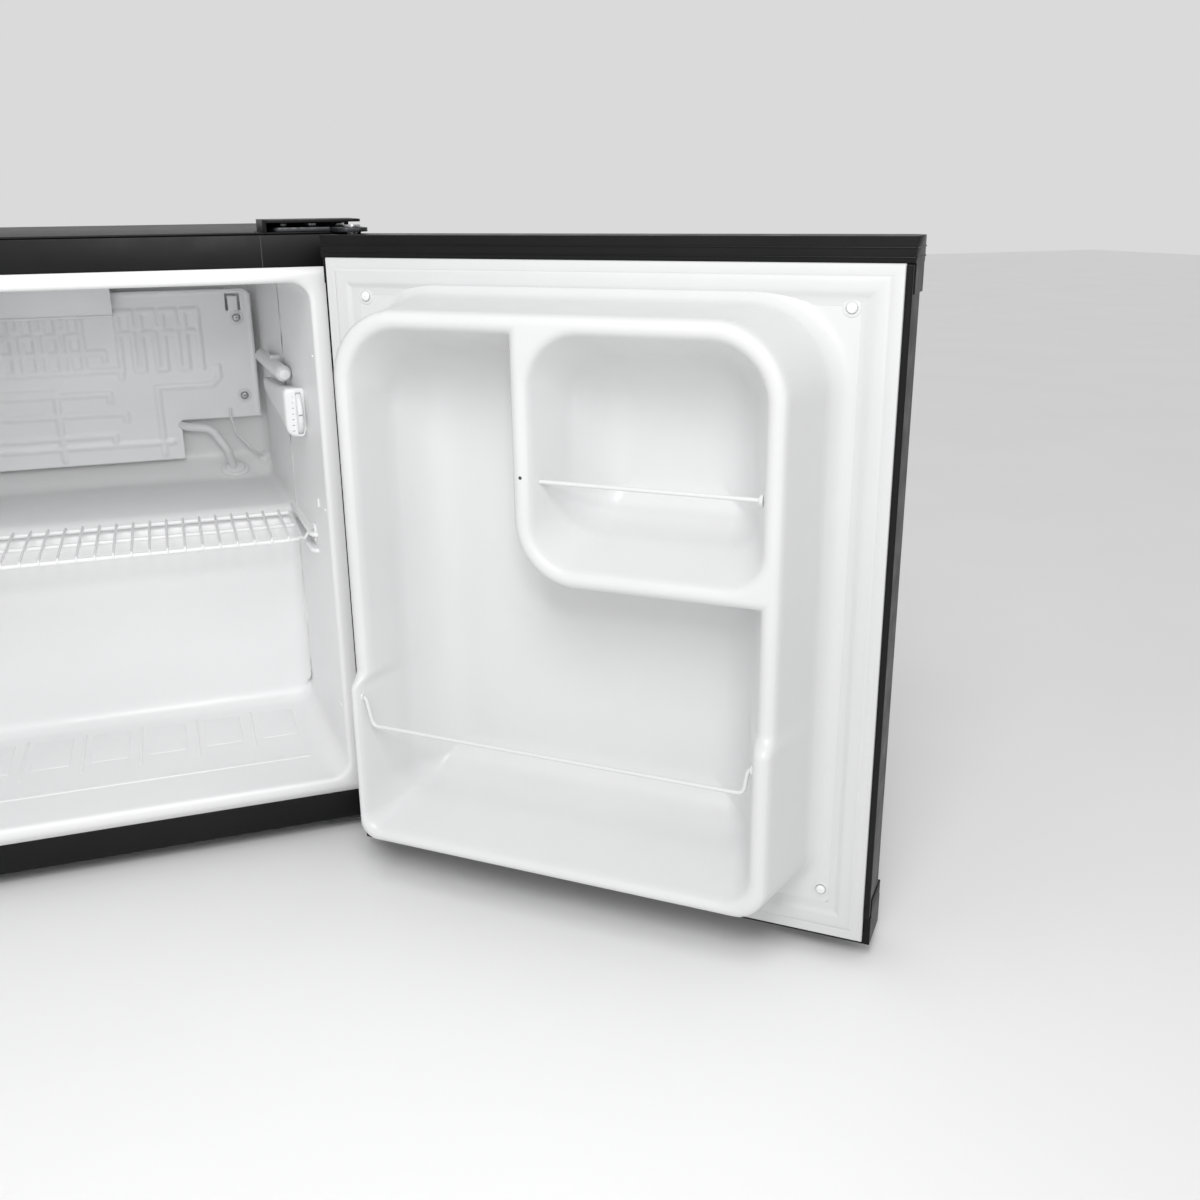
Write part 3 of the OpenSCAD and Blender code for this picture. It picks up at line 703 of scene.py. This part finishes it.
def cross_head(name, place, axis, r, height, mat="screw"):
    """Screw head with a domed top and a cross recess, whose two dark bars are painted shade."""
    axis = Vector(axis).normalized()
    dome = [(0, r), (height * 0.45, r), (height * 0.8, r * 0.86)]
    dome += [(height, r * 0.55), (height, 0.01)]
    head = turned(name + "_head", dome, place, axis, mat, 28)
    side = axis.orthogonal().normalized()
    other = axis.cross(side)
    bars = [head]
    for k, (a, b) in enumerate(((side, other), (other, side))):
        verts = []
        for h in (height * 0.7, height + 0.06):
            for p, q in ((-0.62, -0.13), (0.62, -0.13), (0.62, 0.13), (-0.62, 0.13)):
                verts.append(place + axis * h * MM + (a * p + b * q) * r * MM)
        faces = [(0, 1, 2, 3), (4, 5, 6, 7), (0, 1, 5, 4), (1, 2, 6, 5), (2, 3, 7, 6), (3, 0, 4, 7)]
        bars.append(mesh_object(f"{name}_slot{k}", verts, faces, "seam_and_hollow_shade", False))
    return join(name, bars)


def cold_plate_fixings():
    """Screws with their washers, and the spacers between the plate and the back wall."""
    collar = [(0, 7.5), (0.5, 7.4), (0.9, 6.2), (0.9, 4.3), (0.2, 4.0)]
    post = [(0, 4.6), (4, 5), (11, 5.4), (13, 6.5), (13, 0.01)]
    heads, posts = [], []
    for s in (-1, 1):
        for x, z in ((138.5, 351.5), (138, 434.5)):
            place = cab(s * x, PLATE_Y - 0.2, z)
            heads.append(cross_head(f"plate_screw{s}{z}", place, FORWARD, 4, 2))
            place = cab(s * x, PLATE_Y - 0.1, z)
            heads.append(turned(f"plate_washer{s}{z}", collar, place, FORWARD, "white"))
            place = cab(s * x, PLATE_Y + 1.6, z)
            posts.append(turned(f"post{s}{z}", post, place, BACKWARD, "white"))
    piece(join("plate_screws", heads), "cabinet", "screw", "evaporator_screws")
    piece(join("plate_spacers", posts), "cabinet", "white_plastic", "evaporator_spacers")


def ceiling_hanger():
    """Folded strip under the ceiling, in front of the plate's top edge."""
    parts = [
        block("drop", (-110, 345, 441.5), (16, 346.6, CEIL_Z - 0.6), cab, "plate", 0.6),
        block("hem", (-110, 343.8, 440.6), (16, 349.5, 443.4), cab, "plate", 1.1, 4),
        block("top", (-110, 345.2, CEIL_Z - 2.2), (16, 360, CEIL_Z - 0.5), cab, "plate", 0.6),
        block("foot", (-108, 348, 441.4), (14, 360, 442.8), cab, "plate", 0.5),
        block("end", (13.2, 345.6, 442), (15.6, 360, 453), cab, "plate", 0.6),
    ]
    return piece(join("ceiling_hanger", parts), "cabinet", "plate", "ceiling_bracket")


def suction_line():
    """The tube from the cold plate to the ledge's slope, and the oval grommet round its end."""
    bends = [(71, 361.5, 323), (76, 353, 322.5), (100, 350, 320), (114.5, 349, 296)]
    bends.append((121.3, 370, 262))
    path = fillet_path([cab(*p) for p in bends], 0.016, 8)
    bent = tube("suction_tube_bent", path, 4.2, "white", 18)
    piece(bent, "cabinet", "white_plastic", "suction_tube")
    up = Vector((0, -0.79, 0.61)).normalized()
    right = Vector((1, 0, 0))
    along = up.cross(right)
    centre = cab(121, 364.8, 270.7)
    # rise over the slope, and growth of the half length
    profile = [(-2.6, 0), (0.4, 0), (1.6, -0.6), (2.4, -1.9), (2.6, -3.2), (3.4, -4.1)]
    profile += [(5.2, -5.0), (5.2, -8.5)]
    loops = []
    for rise, grow in profile:
        w, h = 15 + grow * 1.15, 9.4 + grow * 0.62
        middle = centre + up * rise * MM
        loops.append([middle + right * w * c * MM + along * h * s * MM for c, s in circle(40)])
    grommet = sharpen(loft("tube_grommet_moulded", loops, "white", True, True), 50)
    piece(grommet, "cabinet", "white_plastic", "tube_grommet")


def sensor_line():
    """The thin tube from behind the cold plate to its boss on the ledge's slope."""
    bends = [(121.5, 360.5, 337), (122.5, 359, 325), (126, 358, 311), (140, 358, 293)]
    bends.append((155, 370, 280))
    path = fillet_path([cab(*p) for p in bends], 0.012, 8)
    capillary = tube("capillary", path, 1.3, "white", 12)
    profile = [(0, 9), (1.5, 8.6), (3, 7.5), (5.5, 6.4), (7, 5.2), (7.6, 4), (7.6, 0.01)]
    boss = turned("boss", profile, cab(154.5, 373.4, 278.8), (0, -0.81, 0.59), "liner", 36)
    piece(join("sensor_capillary", [capillary, boss]), "cabinet", "white_plastic", "sensor_tube")


def thermostat():
    """Housing that grows from a thin strip at the back to a round-bottomed front with a slot,
    and the dial: a ribbed wheel whose rim stands out of that slot."""
    hub = Vector(JOINTS["knob_turn"]["pos_m"])
    slot_x, hub_y, hub_z = hub.x / MM, (hub.y - FRONT_Y) / MM, hub.z / MM
    slot_half = 18.6
    slot_low, slot_high = hub_z - slot_half, hub_z + slot_half
    front_y, back_y = 79, 300
    # free side, bottom, top and low corner's radius, each at the front and at the back
    side, bottom, top, round_r = (157, 155.8), (353, 364), (396, 378), (9.4, 3.8)

    def between(ends, t):
        return ends[0] + (ends[1] - ends[0]) * t

    def outline(y, t, inset):
        x0, x1 = between(side, t), wall_x(y) + 0.3
        z0, z1 = between(bottom, t**0.8), between(top, t**0.8)
        low = between(round_r, t)
        radii = (low, low * 0.7, 2.5, 4)
        loop = rect_loop(x0 + inset, x1 - inset * 0.3, z0 + inset, z1 - inset, radii, 8, 6, 8)
        return [cab(x, y, z) for x, z in loop]

    loops = [outline(front_y, 0, inset) for inset in (4.5, 3.0)]
    rounding = [(0.3, 1.9), (1.1, 0.7), (2.6, 0)]
    loops += [outline(front_y + rise, 0, inset) for rise, inset in rounding]
    for i in range(1, 10):
        t = i / 9
        loops.append(outline(front_y + 2.6 + (back_y - front_y - 4) * t, t, 0))
    loops += [outline(back_y - 0.5, 1, 0.8), outline(back_y, 1, 2)]
    parts = [sharpen(loft("housing", loops, "white", True, True), 50)]
    gap = rect_loop(slot_x - 3, slot_x + 3, slot_low - 1, slot_high + 1, (2, 2, 2, 2), 4, 2, 4)
    rim = [cab(x, front_y + 0.1, z) for x, z in gap]
    parts.append(tube("slot_rim", rim, 0.7, "white", 8, True))
    low, high = (slot_x - 2.7, front_y - 0.1, slot_low), (slot_x + 2.7, front_y + 1, slot_high)
    # the slot's inside is a grey block on the face: painted shade
    parts.append(block("slot", low, high, cab, "slot", 0.3, 2))
    for k in range(7):
        z = slot_low + 3 + 5 * k
        low = (slot_x - 7 + 0.3 * k, front_y - 0.25, z)
        high = (slot_x - 4.6, front_y + 0.5, z + 0.7)
        parts.append(block(f"tick{k}", low, high, cab, "ink", 0.1, 1))
    piece(join("thermostat_case", parts), "cabinet", "white_plastic", "thermostat_housing")
    ribs, groove = 60, 0.35
    half_wheel = [(2.3, 2), (2.3, 17.2), (2.0, 18.2), (1.2, 18.8)]
    loops = []
    for along, r in [(-x, r) for x, r in half_wheel] + half_wheel[::-1]:
        loop = []
        for k, (c, s) in enumerate(circle(ribs * 4)):
            depth = groove if k % 4 < 2 and r > 17.5 else 0
            reach = (r - depth) * MM
            loop.append(hub + Vector((along * MM, reach * c, reach * s)))
        loops.append(loop)
    wheel = sharpen(loft("wheel", loops, "white", True, True), 30)
    shaft = turned("shaft", [(-7, 2.9), (4.4, 2.9)], hub, (1, 0, 0), "white", 24)
    low = (slot_x - 1.6, hub_y - 19.0, hub_z - 0.7)
    high = (slot_x + 1.6, hub_y - 18.2, hub_z + 0.7)
    mark = block("mark", low, high, cab, "ink", 0.15, 2)
    piece(join("thermostat_dial", [wheel, shaft, mark]), "knob", "white_plastic", "thermostat_knob")


def sensor_sleeve():
    """Round sleeve along the wall with a stepped bright cap."""
    profile = [(0, 5), (1.5, 6.8), (60, 7), (143, 7), (143.6, 6.3), (146, 6.3)]
    profile += [(146.6, 7.4), (153, 7.5), (158, 6.6), (161.5, 4.4), (162.4, 0.01)]
    axis = Vector((DRAFT, -1, 0))
    sleeve = turned("sleeve", profile, cab(156.5, 300, 400.5), axis, "white", 32)
    clip = block("clip", (158, 214, 391.5), (168.5, 224, 409.5), cab, "white", 1.4, 4)
    piece(join("sensor_sleeve", [sleeve, clip]), "cabinet", "white_plastic", "sensor_conduit")


def wire_shelf():
    """Frame, middle bar, cross wires that rise over them, and a hook at each front corner."""
    radii = (12, 12, 4, 4)
    outline = rect_loop(-SHELF_HALF, SHELF_HALF, SHELF_FRONT, SHELF_BACK, radii, 8, 2, 2)
    parts = [tube("frame", [cab(x, y, SHELF_Z) for x, y in outline], 2.1, "wire", 14, True)]
    middle = [cab(-SHELF_HALF, 148, SHELF_Z), cab(SHELF_HALF, 148, SHELF_Z)]
    parts.append(tube("middle", middle, 2.0, "wire", 12))
    bends = [(SHELF_FRONT - 1.6, 0.6), (SHELF_FRONT - 0.4, 3.1)]
    bends += [(SHELF_BACK + 0.4, 3.1), (SHELF_BACK + 1.2, 1.0)]
    for i in range(-10, 11):
        x = i * WIRE_PITCH
        path = fillet_path([cab(x, y, SHELF_Z + rise) for y, rise in bends], 0.0022, 4)
        parts.append(tube(f"wire{i}", path, 1.25, "wire", 10))
    hook = [(SHELF_HALF - 1, 10, 0), (SHELF_HALF + 2.6, 1, 0.6), (SHELF_HALF + 5.2, -3.5, 6.6)]
    for s in (-1, 1):
        path = [cab(s * x, SHELF_FRONT + y, SHELF_Z + rise) for x, y, rise in hook]
        parts.append(tube(f"hook{s}", fillet_path(path, 0.004, 5), 1.5, "wire", 10))
    piece(join("wire_shelf_welded", parts), "shelf", "white_wire", "wire_shelf")


cavity_liner()
floor_mouldings()
wall_mouldings()
cold_plate()
cold_plate_fixings()
ceiling_hanger()
suction_line()
sensor_line()
thermostat()
sensor_sleeve()
wire_shelf()


# -------------------- door
# Rounding of the lining's ridges, and of the corners where the recesses' walls meet their backs
CROWN = 3
CROWN_REACH = 6
FILLET_RISE = 34
FILLET_REACH = 46

# The lining's plane, and how far it drops where the gasket lies on it
PLANE_V = -4
SEAT_DROP = 4.2

# The fillet at the ridges' foot, and how much smaller it is on the hinge side, where it goes into
# the cavity with the door closed
FOOT_RISE, FOOT_RISE_CUT = 11, 6.5
FOOT_REACH, FOOT_REACH_CUT = 17, 9

# Outlines in the lining's plane: u from and to, z from and to, and the corners' radii
SEAT = (-191, 191, 43.5, 492, (5, 5, 5, 5))
RIDGE_FOOT = (-177, 174, 61, 486, (20, 28, 58, 58))
RIDGE_RIM = (-172, 161, 66, 479, (15, 24, 50, 50))
BLOCK_RIM = (-30, 400, 294, 700, (44, 0, 0, 0))
BLOCK_FOOT = (-41, 400, 283, 700, (50, 0, 0, 0))
COLUMN_RIM = (-160, 149, 76, 467, (14, 22, 40, 42))
COLUMN_FLOOR = (-153, 131, 92, 450, (20, 22, 34, 46))
POCKET_RIM = (-18, 149, 306, 467, (32, 26, 40, 38))
POCKET_FLOOR = (-6, 131, 322, 450, (30, 22, 34, 34))


def door_height(u, z):
    """Height v of the door's moulded lining over its plane."""
    seat = rect_distance(u, z, *SEAT)
    base = PLANE_V - SEAT_DROP * rounded_ramp(seat / 2.0, 0.3)
    low_part = rounded_ramp((JOG_Z + 7 - z) / 15, 0.4)
    crest = RIDGE_UP + (RIDGE_LOW - RIDGE_UP) * low_part
    shoulder = crest - CROWN
    foot = rect_distance(u, z, *RIDGE_FOOT)
    rim = rect_distance(u, z, *RIDGE_RIM)
    t = np.clip(-foot, 0, None) / (np.clip(-foot, 0, None) + np.clip(rim, 0, None) + 1e-9)
    hinge_side = np.clip((-150 - u) / 20, 0, 1)
    rise = FOOT_RISE - FOOT_RISE_CUT * hinge_side
    reach = FOOT_REACH - FOOT_REACH_CUT * hinge_side
    outer = base + rise * np.clip(1 - foot / reach, 0, 1) ** 3
    slope = base + rise + (shoulder - base - rise) * t
    top = crest - CROWN * np.clip(1 + rim / CROWN_REACH, 0, 1) ** 2
    height = np.where(foot > 0, outer, np.where(rim > 0, slope, top))

    def pocket(height, inner, floor):
        """Cuts a recess: a wide fillet at the foot of its walls and a crowned edge at their top."""
        out_of_floor = np.clip(floor, 0, None)
        t = out_of_floor / (out_of_floor + np.clip(-inner, 0, None) + 1e-9)
        fillet = RECESS_V + FILLET_RISE * np.clip(1 + floor / FILLET_REACH, 0, 1) ** 3
        wall = RECESS_V + FILLET_RISE + (shoulder - RECESS_V - FILLET_RISE) * t
        height = height - CROWN * np.clip(1 - inner / CROWN_REACH, 0, 1) ** 2
        return np.where(inner > 0, height, np.where(floor > 0, wall, fillet))

    # the bottle column and the lower pocket are one recess round the block of the upper pocket
    block_rim = rect_distance(u, z, *BLOCK_RIM)
    block_foot = rect_distance(u, z, *BLOCK_FOOT)
    column_rim = rect_distance(u + 6 * low_part * (u < 0), z, *COLUMN_RIM)
    column_floor = rect_distance(u, z, *COLUMN_FLOOR)
    beside_block = np.where(block_foot > 0, -2.2 * block_foot, -block_foot)
    column_rim = np.maximum(column_rim, -block_rim)
    column_floor = np.maximum(column_floor, beside_block)
    height = pocket(height, column_rim, column_floor)
    return pocket(height, rect_distance(u, z, *POCKET_RIM), rect_distance(u, z, *POCKET_FLOOR))


def door_lining():
    """The door's moulded lining: a grid of heights over its plane, closed behind."""
    step = 1.5
    back_v = -16.9
    u = np.linspace(-LINER_HALF, LINER_HALF, int(2 * LINER_HALF / step) + 1)
    z = np.linspace(*LINER_Z, int((LINER_Z[1] - LINER_Z[0]) / step) + 1)
    gu, gz = np.meshgrid(u, z, indexing="ij")
    gv = door_height(gu, gz)
    nu, nz = gu.shape
    verts = np.stack([gu, gv, gz], -1).reshape(-1, 3)
    index = np.arange(nu * nz).reshape(nu, nz)
    corners = [index[:-1, :-1], index[1:, :-1], index[1:, 1:], index[:-1, 1:]]
    faces = np.stack(corners, -1).reshape(-1, 4).tolist()
    edge = [*index[:, 0], *index[-1, 1:], *index[-2::-1, -1], *index[0, -2:0:-1]]
    back = [(verts[i][0], back_v, verts[i][2]) for i in edge]
    start = len(verts)
    for k in range(len(edge)):
        n = (k + 1) % len(edge)
        faces.append([int(edge[k]), int(edge[n]), start + n, start + k])
    faces.append([start + k for k in range(len(edge))])
    points = [door(*p) for p in verts.tolist()] + [door(*p) for p in back]
    lining = sharpen(mesh_object("door_lining", points, faces, "door_liner"), 62)
    nodes = ("door_liner", "door_liner_rim", "door_ridge_runs", "door_ridge_corners")
    return piece(lining, "door", "white_liner", *nodes)


def door_gasket():
    """Magnetic strip with mitred corners: each pair is (distance in from the edge, height)."""
    bead = [(0.0, -4.8), (0.0, -2.6), (0.5, -1.7), (1.4, -1.4), (5.6, -1.3), (7.0, -1.4)]
    magnet = [(7.8, -1.7), (8.6, -1.3), (9.8, -0.8), (11.4, -0.5), (15.4, -0.5), (17.0, -0.8)]
    skirt = [(18.8, -1.5), (20.6, -2.3), (22.4, -3.0), (24.4, -3.6), (26.6, -3.85), (27.0, -4.2)]
    under = [(26.4, -6.0), (24.2, -8.1), (9.5, -8.1), (8.5, -5.2), (7.4, -4.9)]
    loops = []
    for inset, v in bead + magnet + skirt + under + bead[:1]:
        x = GASKET_HALF - inset
        low, high = GASKET_Z + inset, GASKET_TOP - inset
        loops.append([door(-x, v, low), door(x, v, low), door(x, v, high), door(-x, v, high)])
    gasket = sharpen(loft("door_gasket_strip", loops, "gasket"), 28)
    return piece(gasket, "door", "gasket", "door_gasket")


def door_fixings():
    """White screws at the lining's corners, each in a raised ring."""
    out = DOOR_TURN @ BACKWARD
    ring = [(0, 6.2), (0.5, 6.0), (0.8, 5.2), (0.8, 4.4), (0.1, 3.9)]
    heads = []
    for s in (-1, 1):
        u = s * 184
        for z in (55, 483):
            place = door(u, -3.9, z)
            heads.append(cross_head(f"liner_screw{s}{z}", place, out, 3.4, 1.9, "white"))
            place = door(u, -4.1, z)
            heads.append(turned(f"dimple{s}{z}", ring, place, out, "door_liner", 32))
    piece(join("door_liner_screws", heads), "door", "screw", "liner_screws")


def door_rails():
    """The two wire rails, the sockets that hold their ends, and a pin hole on the divider."""
    high_z, low_v = 365, 66
    level = [(-24, 52, high_z), (-12, 51.5, high_z), (136, 51.5, high_z), (150, 52, high_z)]
    # Both rails are white wire drawn in the door lining's grey, which is painted shade.
    rail = tube("upper_pocket_rail", [door(*p) for p in level], 1.6, "door_liner", 14)
    piece(rail, "door", "white_wire", "upper_rail")
    bends = [(-170, 187.5), (-163, 185), (-158, 162.5), (141, 160.5), (144, 179), (150, 181)]
    path = fillet_path([door(u, low_v, z) for u, z in bends], 0.006, 7)
    rail = tube("lower_pocket_rail", path, 1.6, "door_liner", 14)
    piece(rail, "door", "white_wire", "lower_rail")
    across = DOOR_TURN @ Vector((-1, 0, 0))
    ring = [(-2, 4.2), (0, 4.0), (0.8, 3.4), (1.0, 2.5), (0.2, 1.7)]
    sockets = [(-165, low_v, 186, 1), (147, low_v, 180, -1)]
    sockets += [(-18.5, 51.7, high_z, 1), (143, 51.7, high_z, -1)]
    cups = []
    for k, (u, v, z, way) in enumerate(sockets):
        cups.append(turned(f"cup{k}", ring, door(u, v, z), across * way, "door_liner", 24))
    piece(join("rail_sockets", cups), "door", "white_liner")
    out = DOOR_TURN @ BACKWARD
    profile = [(-1, 1.3), (0.3, 1.2), (0.4, 0.01)]
    # The pin hole is a small dark disc: painted shade.
    pip = turned("pip", profile, door(-23.5, RIDGE_UP - 0.2, 370), out, "seam_and_hollow_shade", 16)
    piece(pip, "door", "white_liner")


door_lining()
door_gasket()
door_fixings()
door_rails()


# -------------------- outside and machinery
def black_trims():
    """Beads round the door's top cap, the strip that covers the gasket's free edge, and the seam
    of the cabinet's top band."""
    parts = []
    for z in (514.5, 520.5):
        loop = rect_loop(-222.6, 222.6, -51.9, -4.9, (12, 12, 1, 1), 8, 2, 2)
        parts.append(tube(f"bead{z}", [door(u, v, z) for u, v in loop], 0.55, "trim", 8, True))
    piece(join("door_cap_beads", parts), "door", "black_trim")
    edge = block("door_edge_strip", (217.3, -34, 38.4), (221.7, -1.9, 510.8), door, "trim", 1.2, 4)
    piece(edge, "door", "black_trim")
    seam = block("top_band_seam", (143.4, -0.25, 503), (144.1, 1, 527), cab, "seam_and_hollow_shade", 0.1, 1)
    piece(seam, "cabinet", "black_trim")


def back_details():
    """Screws and stiffening ribs of the back panel, lining of the machine bay, seam and process
    tube of the compressor, and clips of the condenser."""
    parts = []
    y = (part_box("back_panel")[1].y - FRONT_Y) / MM
    for x in (-205, -70, 70, 205):
        for z in (236, 516):
            place = cab(x, y - 0.1, z)
            parts.append(cross_head(f"panel_screw{x}{z}", place, BACKWARD, 3.6, 1.8))
    piece(join("back_panel_screws", parts), "cabinet", "screw")
    ribs = []
    for z in (245, 375, 505):
        low, high = (-195, y - 0.6, z - 3), (195, y + 1.3, z + 3)
        ribs.append(block(f"rib{z}", low, high, cab, "dark_steel", 1.5, 4))
    piece(join("back_panel_ribs", ribs), "cabinet", "grey_steel")
    bay = [
        block("bay_wall", (-220, 244.3, 16), (220, 245.3, 221), cab, "dark_steel", 0.4, 2),
        block("bay_roof", (-220, 244.3, 220.7), (220, 425.5, 221.8), cab, "dark_steel", 0.4, 2),
    ]
    piece(join("machine_bay_lining", bay), "cabinet", "grey_steel")
    low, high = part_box("compressor")
    centre = (low + high) / 2
    r, z = 0.0628, 0.1075
    seam = [Vector((centre.x + r * c, centre.y + r * s, z)) for c, s in circle(64)]
    parts = [tube("weld", seam, 1.7, "compressor", 10, True)]
    bends = [(-0.03, 0.045, 0.15), (-0.036, 0.062, 0.152), (-0.05, 0.066, 0.152)]
    stub = fillet_path([Vector((centre.x + x, centre.y + y, z)) for x, y, z in bends], 0.008)
    parts.append(tube("process_tube", stub, 3.1, "copper", 14))
    piece(join("compressor_fittings", parts), "cabinet", "black_steel")
    clips = []
    for x in (-192, 192):
        for z in (269, 487):
            low, high = (x - 6, 436, z - 4), (x + 6, 443.2, z + 4)
            clips.append(block(f"clip{x}{z}", low, high, cab, "trim", 1.6, 4))
    piece(join("condenser_clips", clips), "cabinet", "black_trim")


back_details()
black_trims()

# CAD nodes that stay: their material, the radius that softens their edges in millimetres, and names
KEPT = (
    ("sheet", 0.5, "side_panel_left side_panel_right"),
    ("sheet", 0.6, "top_panel"),
    ("sheet", 0.2, "door_skin"),
    ("trim", 1.0, "front_top_band front_bottom_band door_top_cap door_bottom_cap"),
    ("trim", 1.0, "condenser_brackets"),
    ("trim", 0.6, "front_foot_left front_foot_right"),
    ("trim", 1.4, "hinge_cover"),
    ("trim", 1.5, "terminal_cover"),
    ("dark_steel", 0.3, "back_panel base_pan"),
    ("dark_steel", 0.5, "top_hinge bottom_hinge"),
    ("dark_steel", 0.6, "compressor_feet"),
    ("screw", 0.4, "top_hinge_pin bottom_hinge_pin"),
    ("screw", 0.5, "hinge_screws"),
    ("white", 0.3, "hinge_bushings"),
    ("rubber", 0.5, "compressor_grommets"),
    ("rubber", 0.6, "cord_inlet"),
    ("rubber", 1.0, "rear_foot_rail"),
    ("compressor", 0, "compressor"),
    ("coil", 0, "condenser_coil condenser_wires"),
    ("copper", 0, "refrigerant_lines filter_drier"),
    ("foam", 0, "foam_left foam_right foam_top foam_floor foam_back foam_hump foam_roof door_foam"),
)
for mat, radius, names in KEPT:
    for name in names.split():
        node = frame["nodes"][name]
        node.data.materials.clear()
        node.data.materials.append(M[mat])
        if radius:
            bevel(node, radius, 3, 40)


# -------------------- stage, light and camera
def stage():
    """Pale floor and white world."""
    size = 9.0
    mat, tree, shader = new_material("pale_floor")
    colour = ramp(tree, noise(tree, 3, 3), (0.86, 0.86, 0.86), (0.88, 0.88, 0.88))
    tree.links.new(colour, shader.inputs["Base Color"])
    shader.inputs["Roughness"].default_value = 0.9
    M["floor"] = mat
    corners = [(-size, -size, 0), (size, -size, 0), (size, size, 0), (-size, size, 0)]
    floor = mesh_object("floor", corners, [(0, 1, 2, 3)], "floor", False)
    world = bpy.data.worlds.new("studio")
    world.use_nodes = True
    background = world.node_tree.nodes["Background"]
    background.inputs["Color"].default_value = (1, 1, 1, 1)
    background.inputs["Strength"].default_value = 0.7
    bpy.context.scene.world = world


def area_light(name, place, target, size, power):
    data = bpy.data.lights.new(name, "AREA")
    data.shape = "DISK"
    data.size = size
    data.energy = power
    light = bpy.data.objects.new(name, data)
    light.location = place
    light.rotation_mode = "QUATERNION"
    light.rotation_quaternion = (target - place).to_track_quat("-Z", "Y")
    bpy.context.scene.collection.objects.link(light)


def camera():
    """The photograph's camera, solved from the straight edges of the door and the cabinet."""
    yaw, pitch, roll = (math.radians(a) for a in (-19.07, 18.35, -0.60))
    ahead = math.cos(pitch)
    forward = Vector((-math.sin(yaw) * ahead, math.cos(yaw) * ahead, -math.sin(pitch)))
    level = Vector((math.cos(yaw), math.sin(yaw), 0))
    upright = level.cross(forward)
    right = math.cos(roll) * level + math.sin(roll) * upright
    up = -math.sin(roll) * level + math.cos(roll) * upright
    data = bpy.data.cameras.new("camera")
    data.sensor_width = 36
    data.lens = 36.41
    data.clip_start = 0.01
    data.clip_end = 100
    cam = bpy.data.objects.new("camera", data)
    turn = Matrix((right, up, -forward)).transposed().to_4x4()
    cam.matrix_world = Matrix.Translation(cab(68.71, -1018.03, 552.25)) @ turn
    bpy.context.scene.collection.objects.link(cam)
    bpy.context.scene.camera = cam


stage()
area_light("key", cab(85, -985, 735), cab(120, 60, 300), 0.12, 1.3)
area_light("left_fill", cab(-1000, -900, 500), cab(60, 60, 280), 0.9, 0.7)
area_light("front_fill", cab(-100, -1400, 350), cab(20, 60, 280), 1.2, 1.0)
area_light("high_front", cab(-40, -1000, 1150), cab(-60, 250, 270), 0.5, 7.0)
camera()
bpy.context.scene.view_settings.view_transform = "Standard"
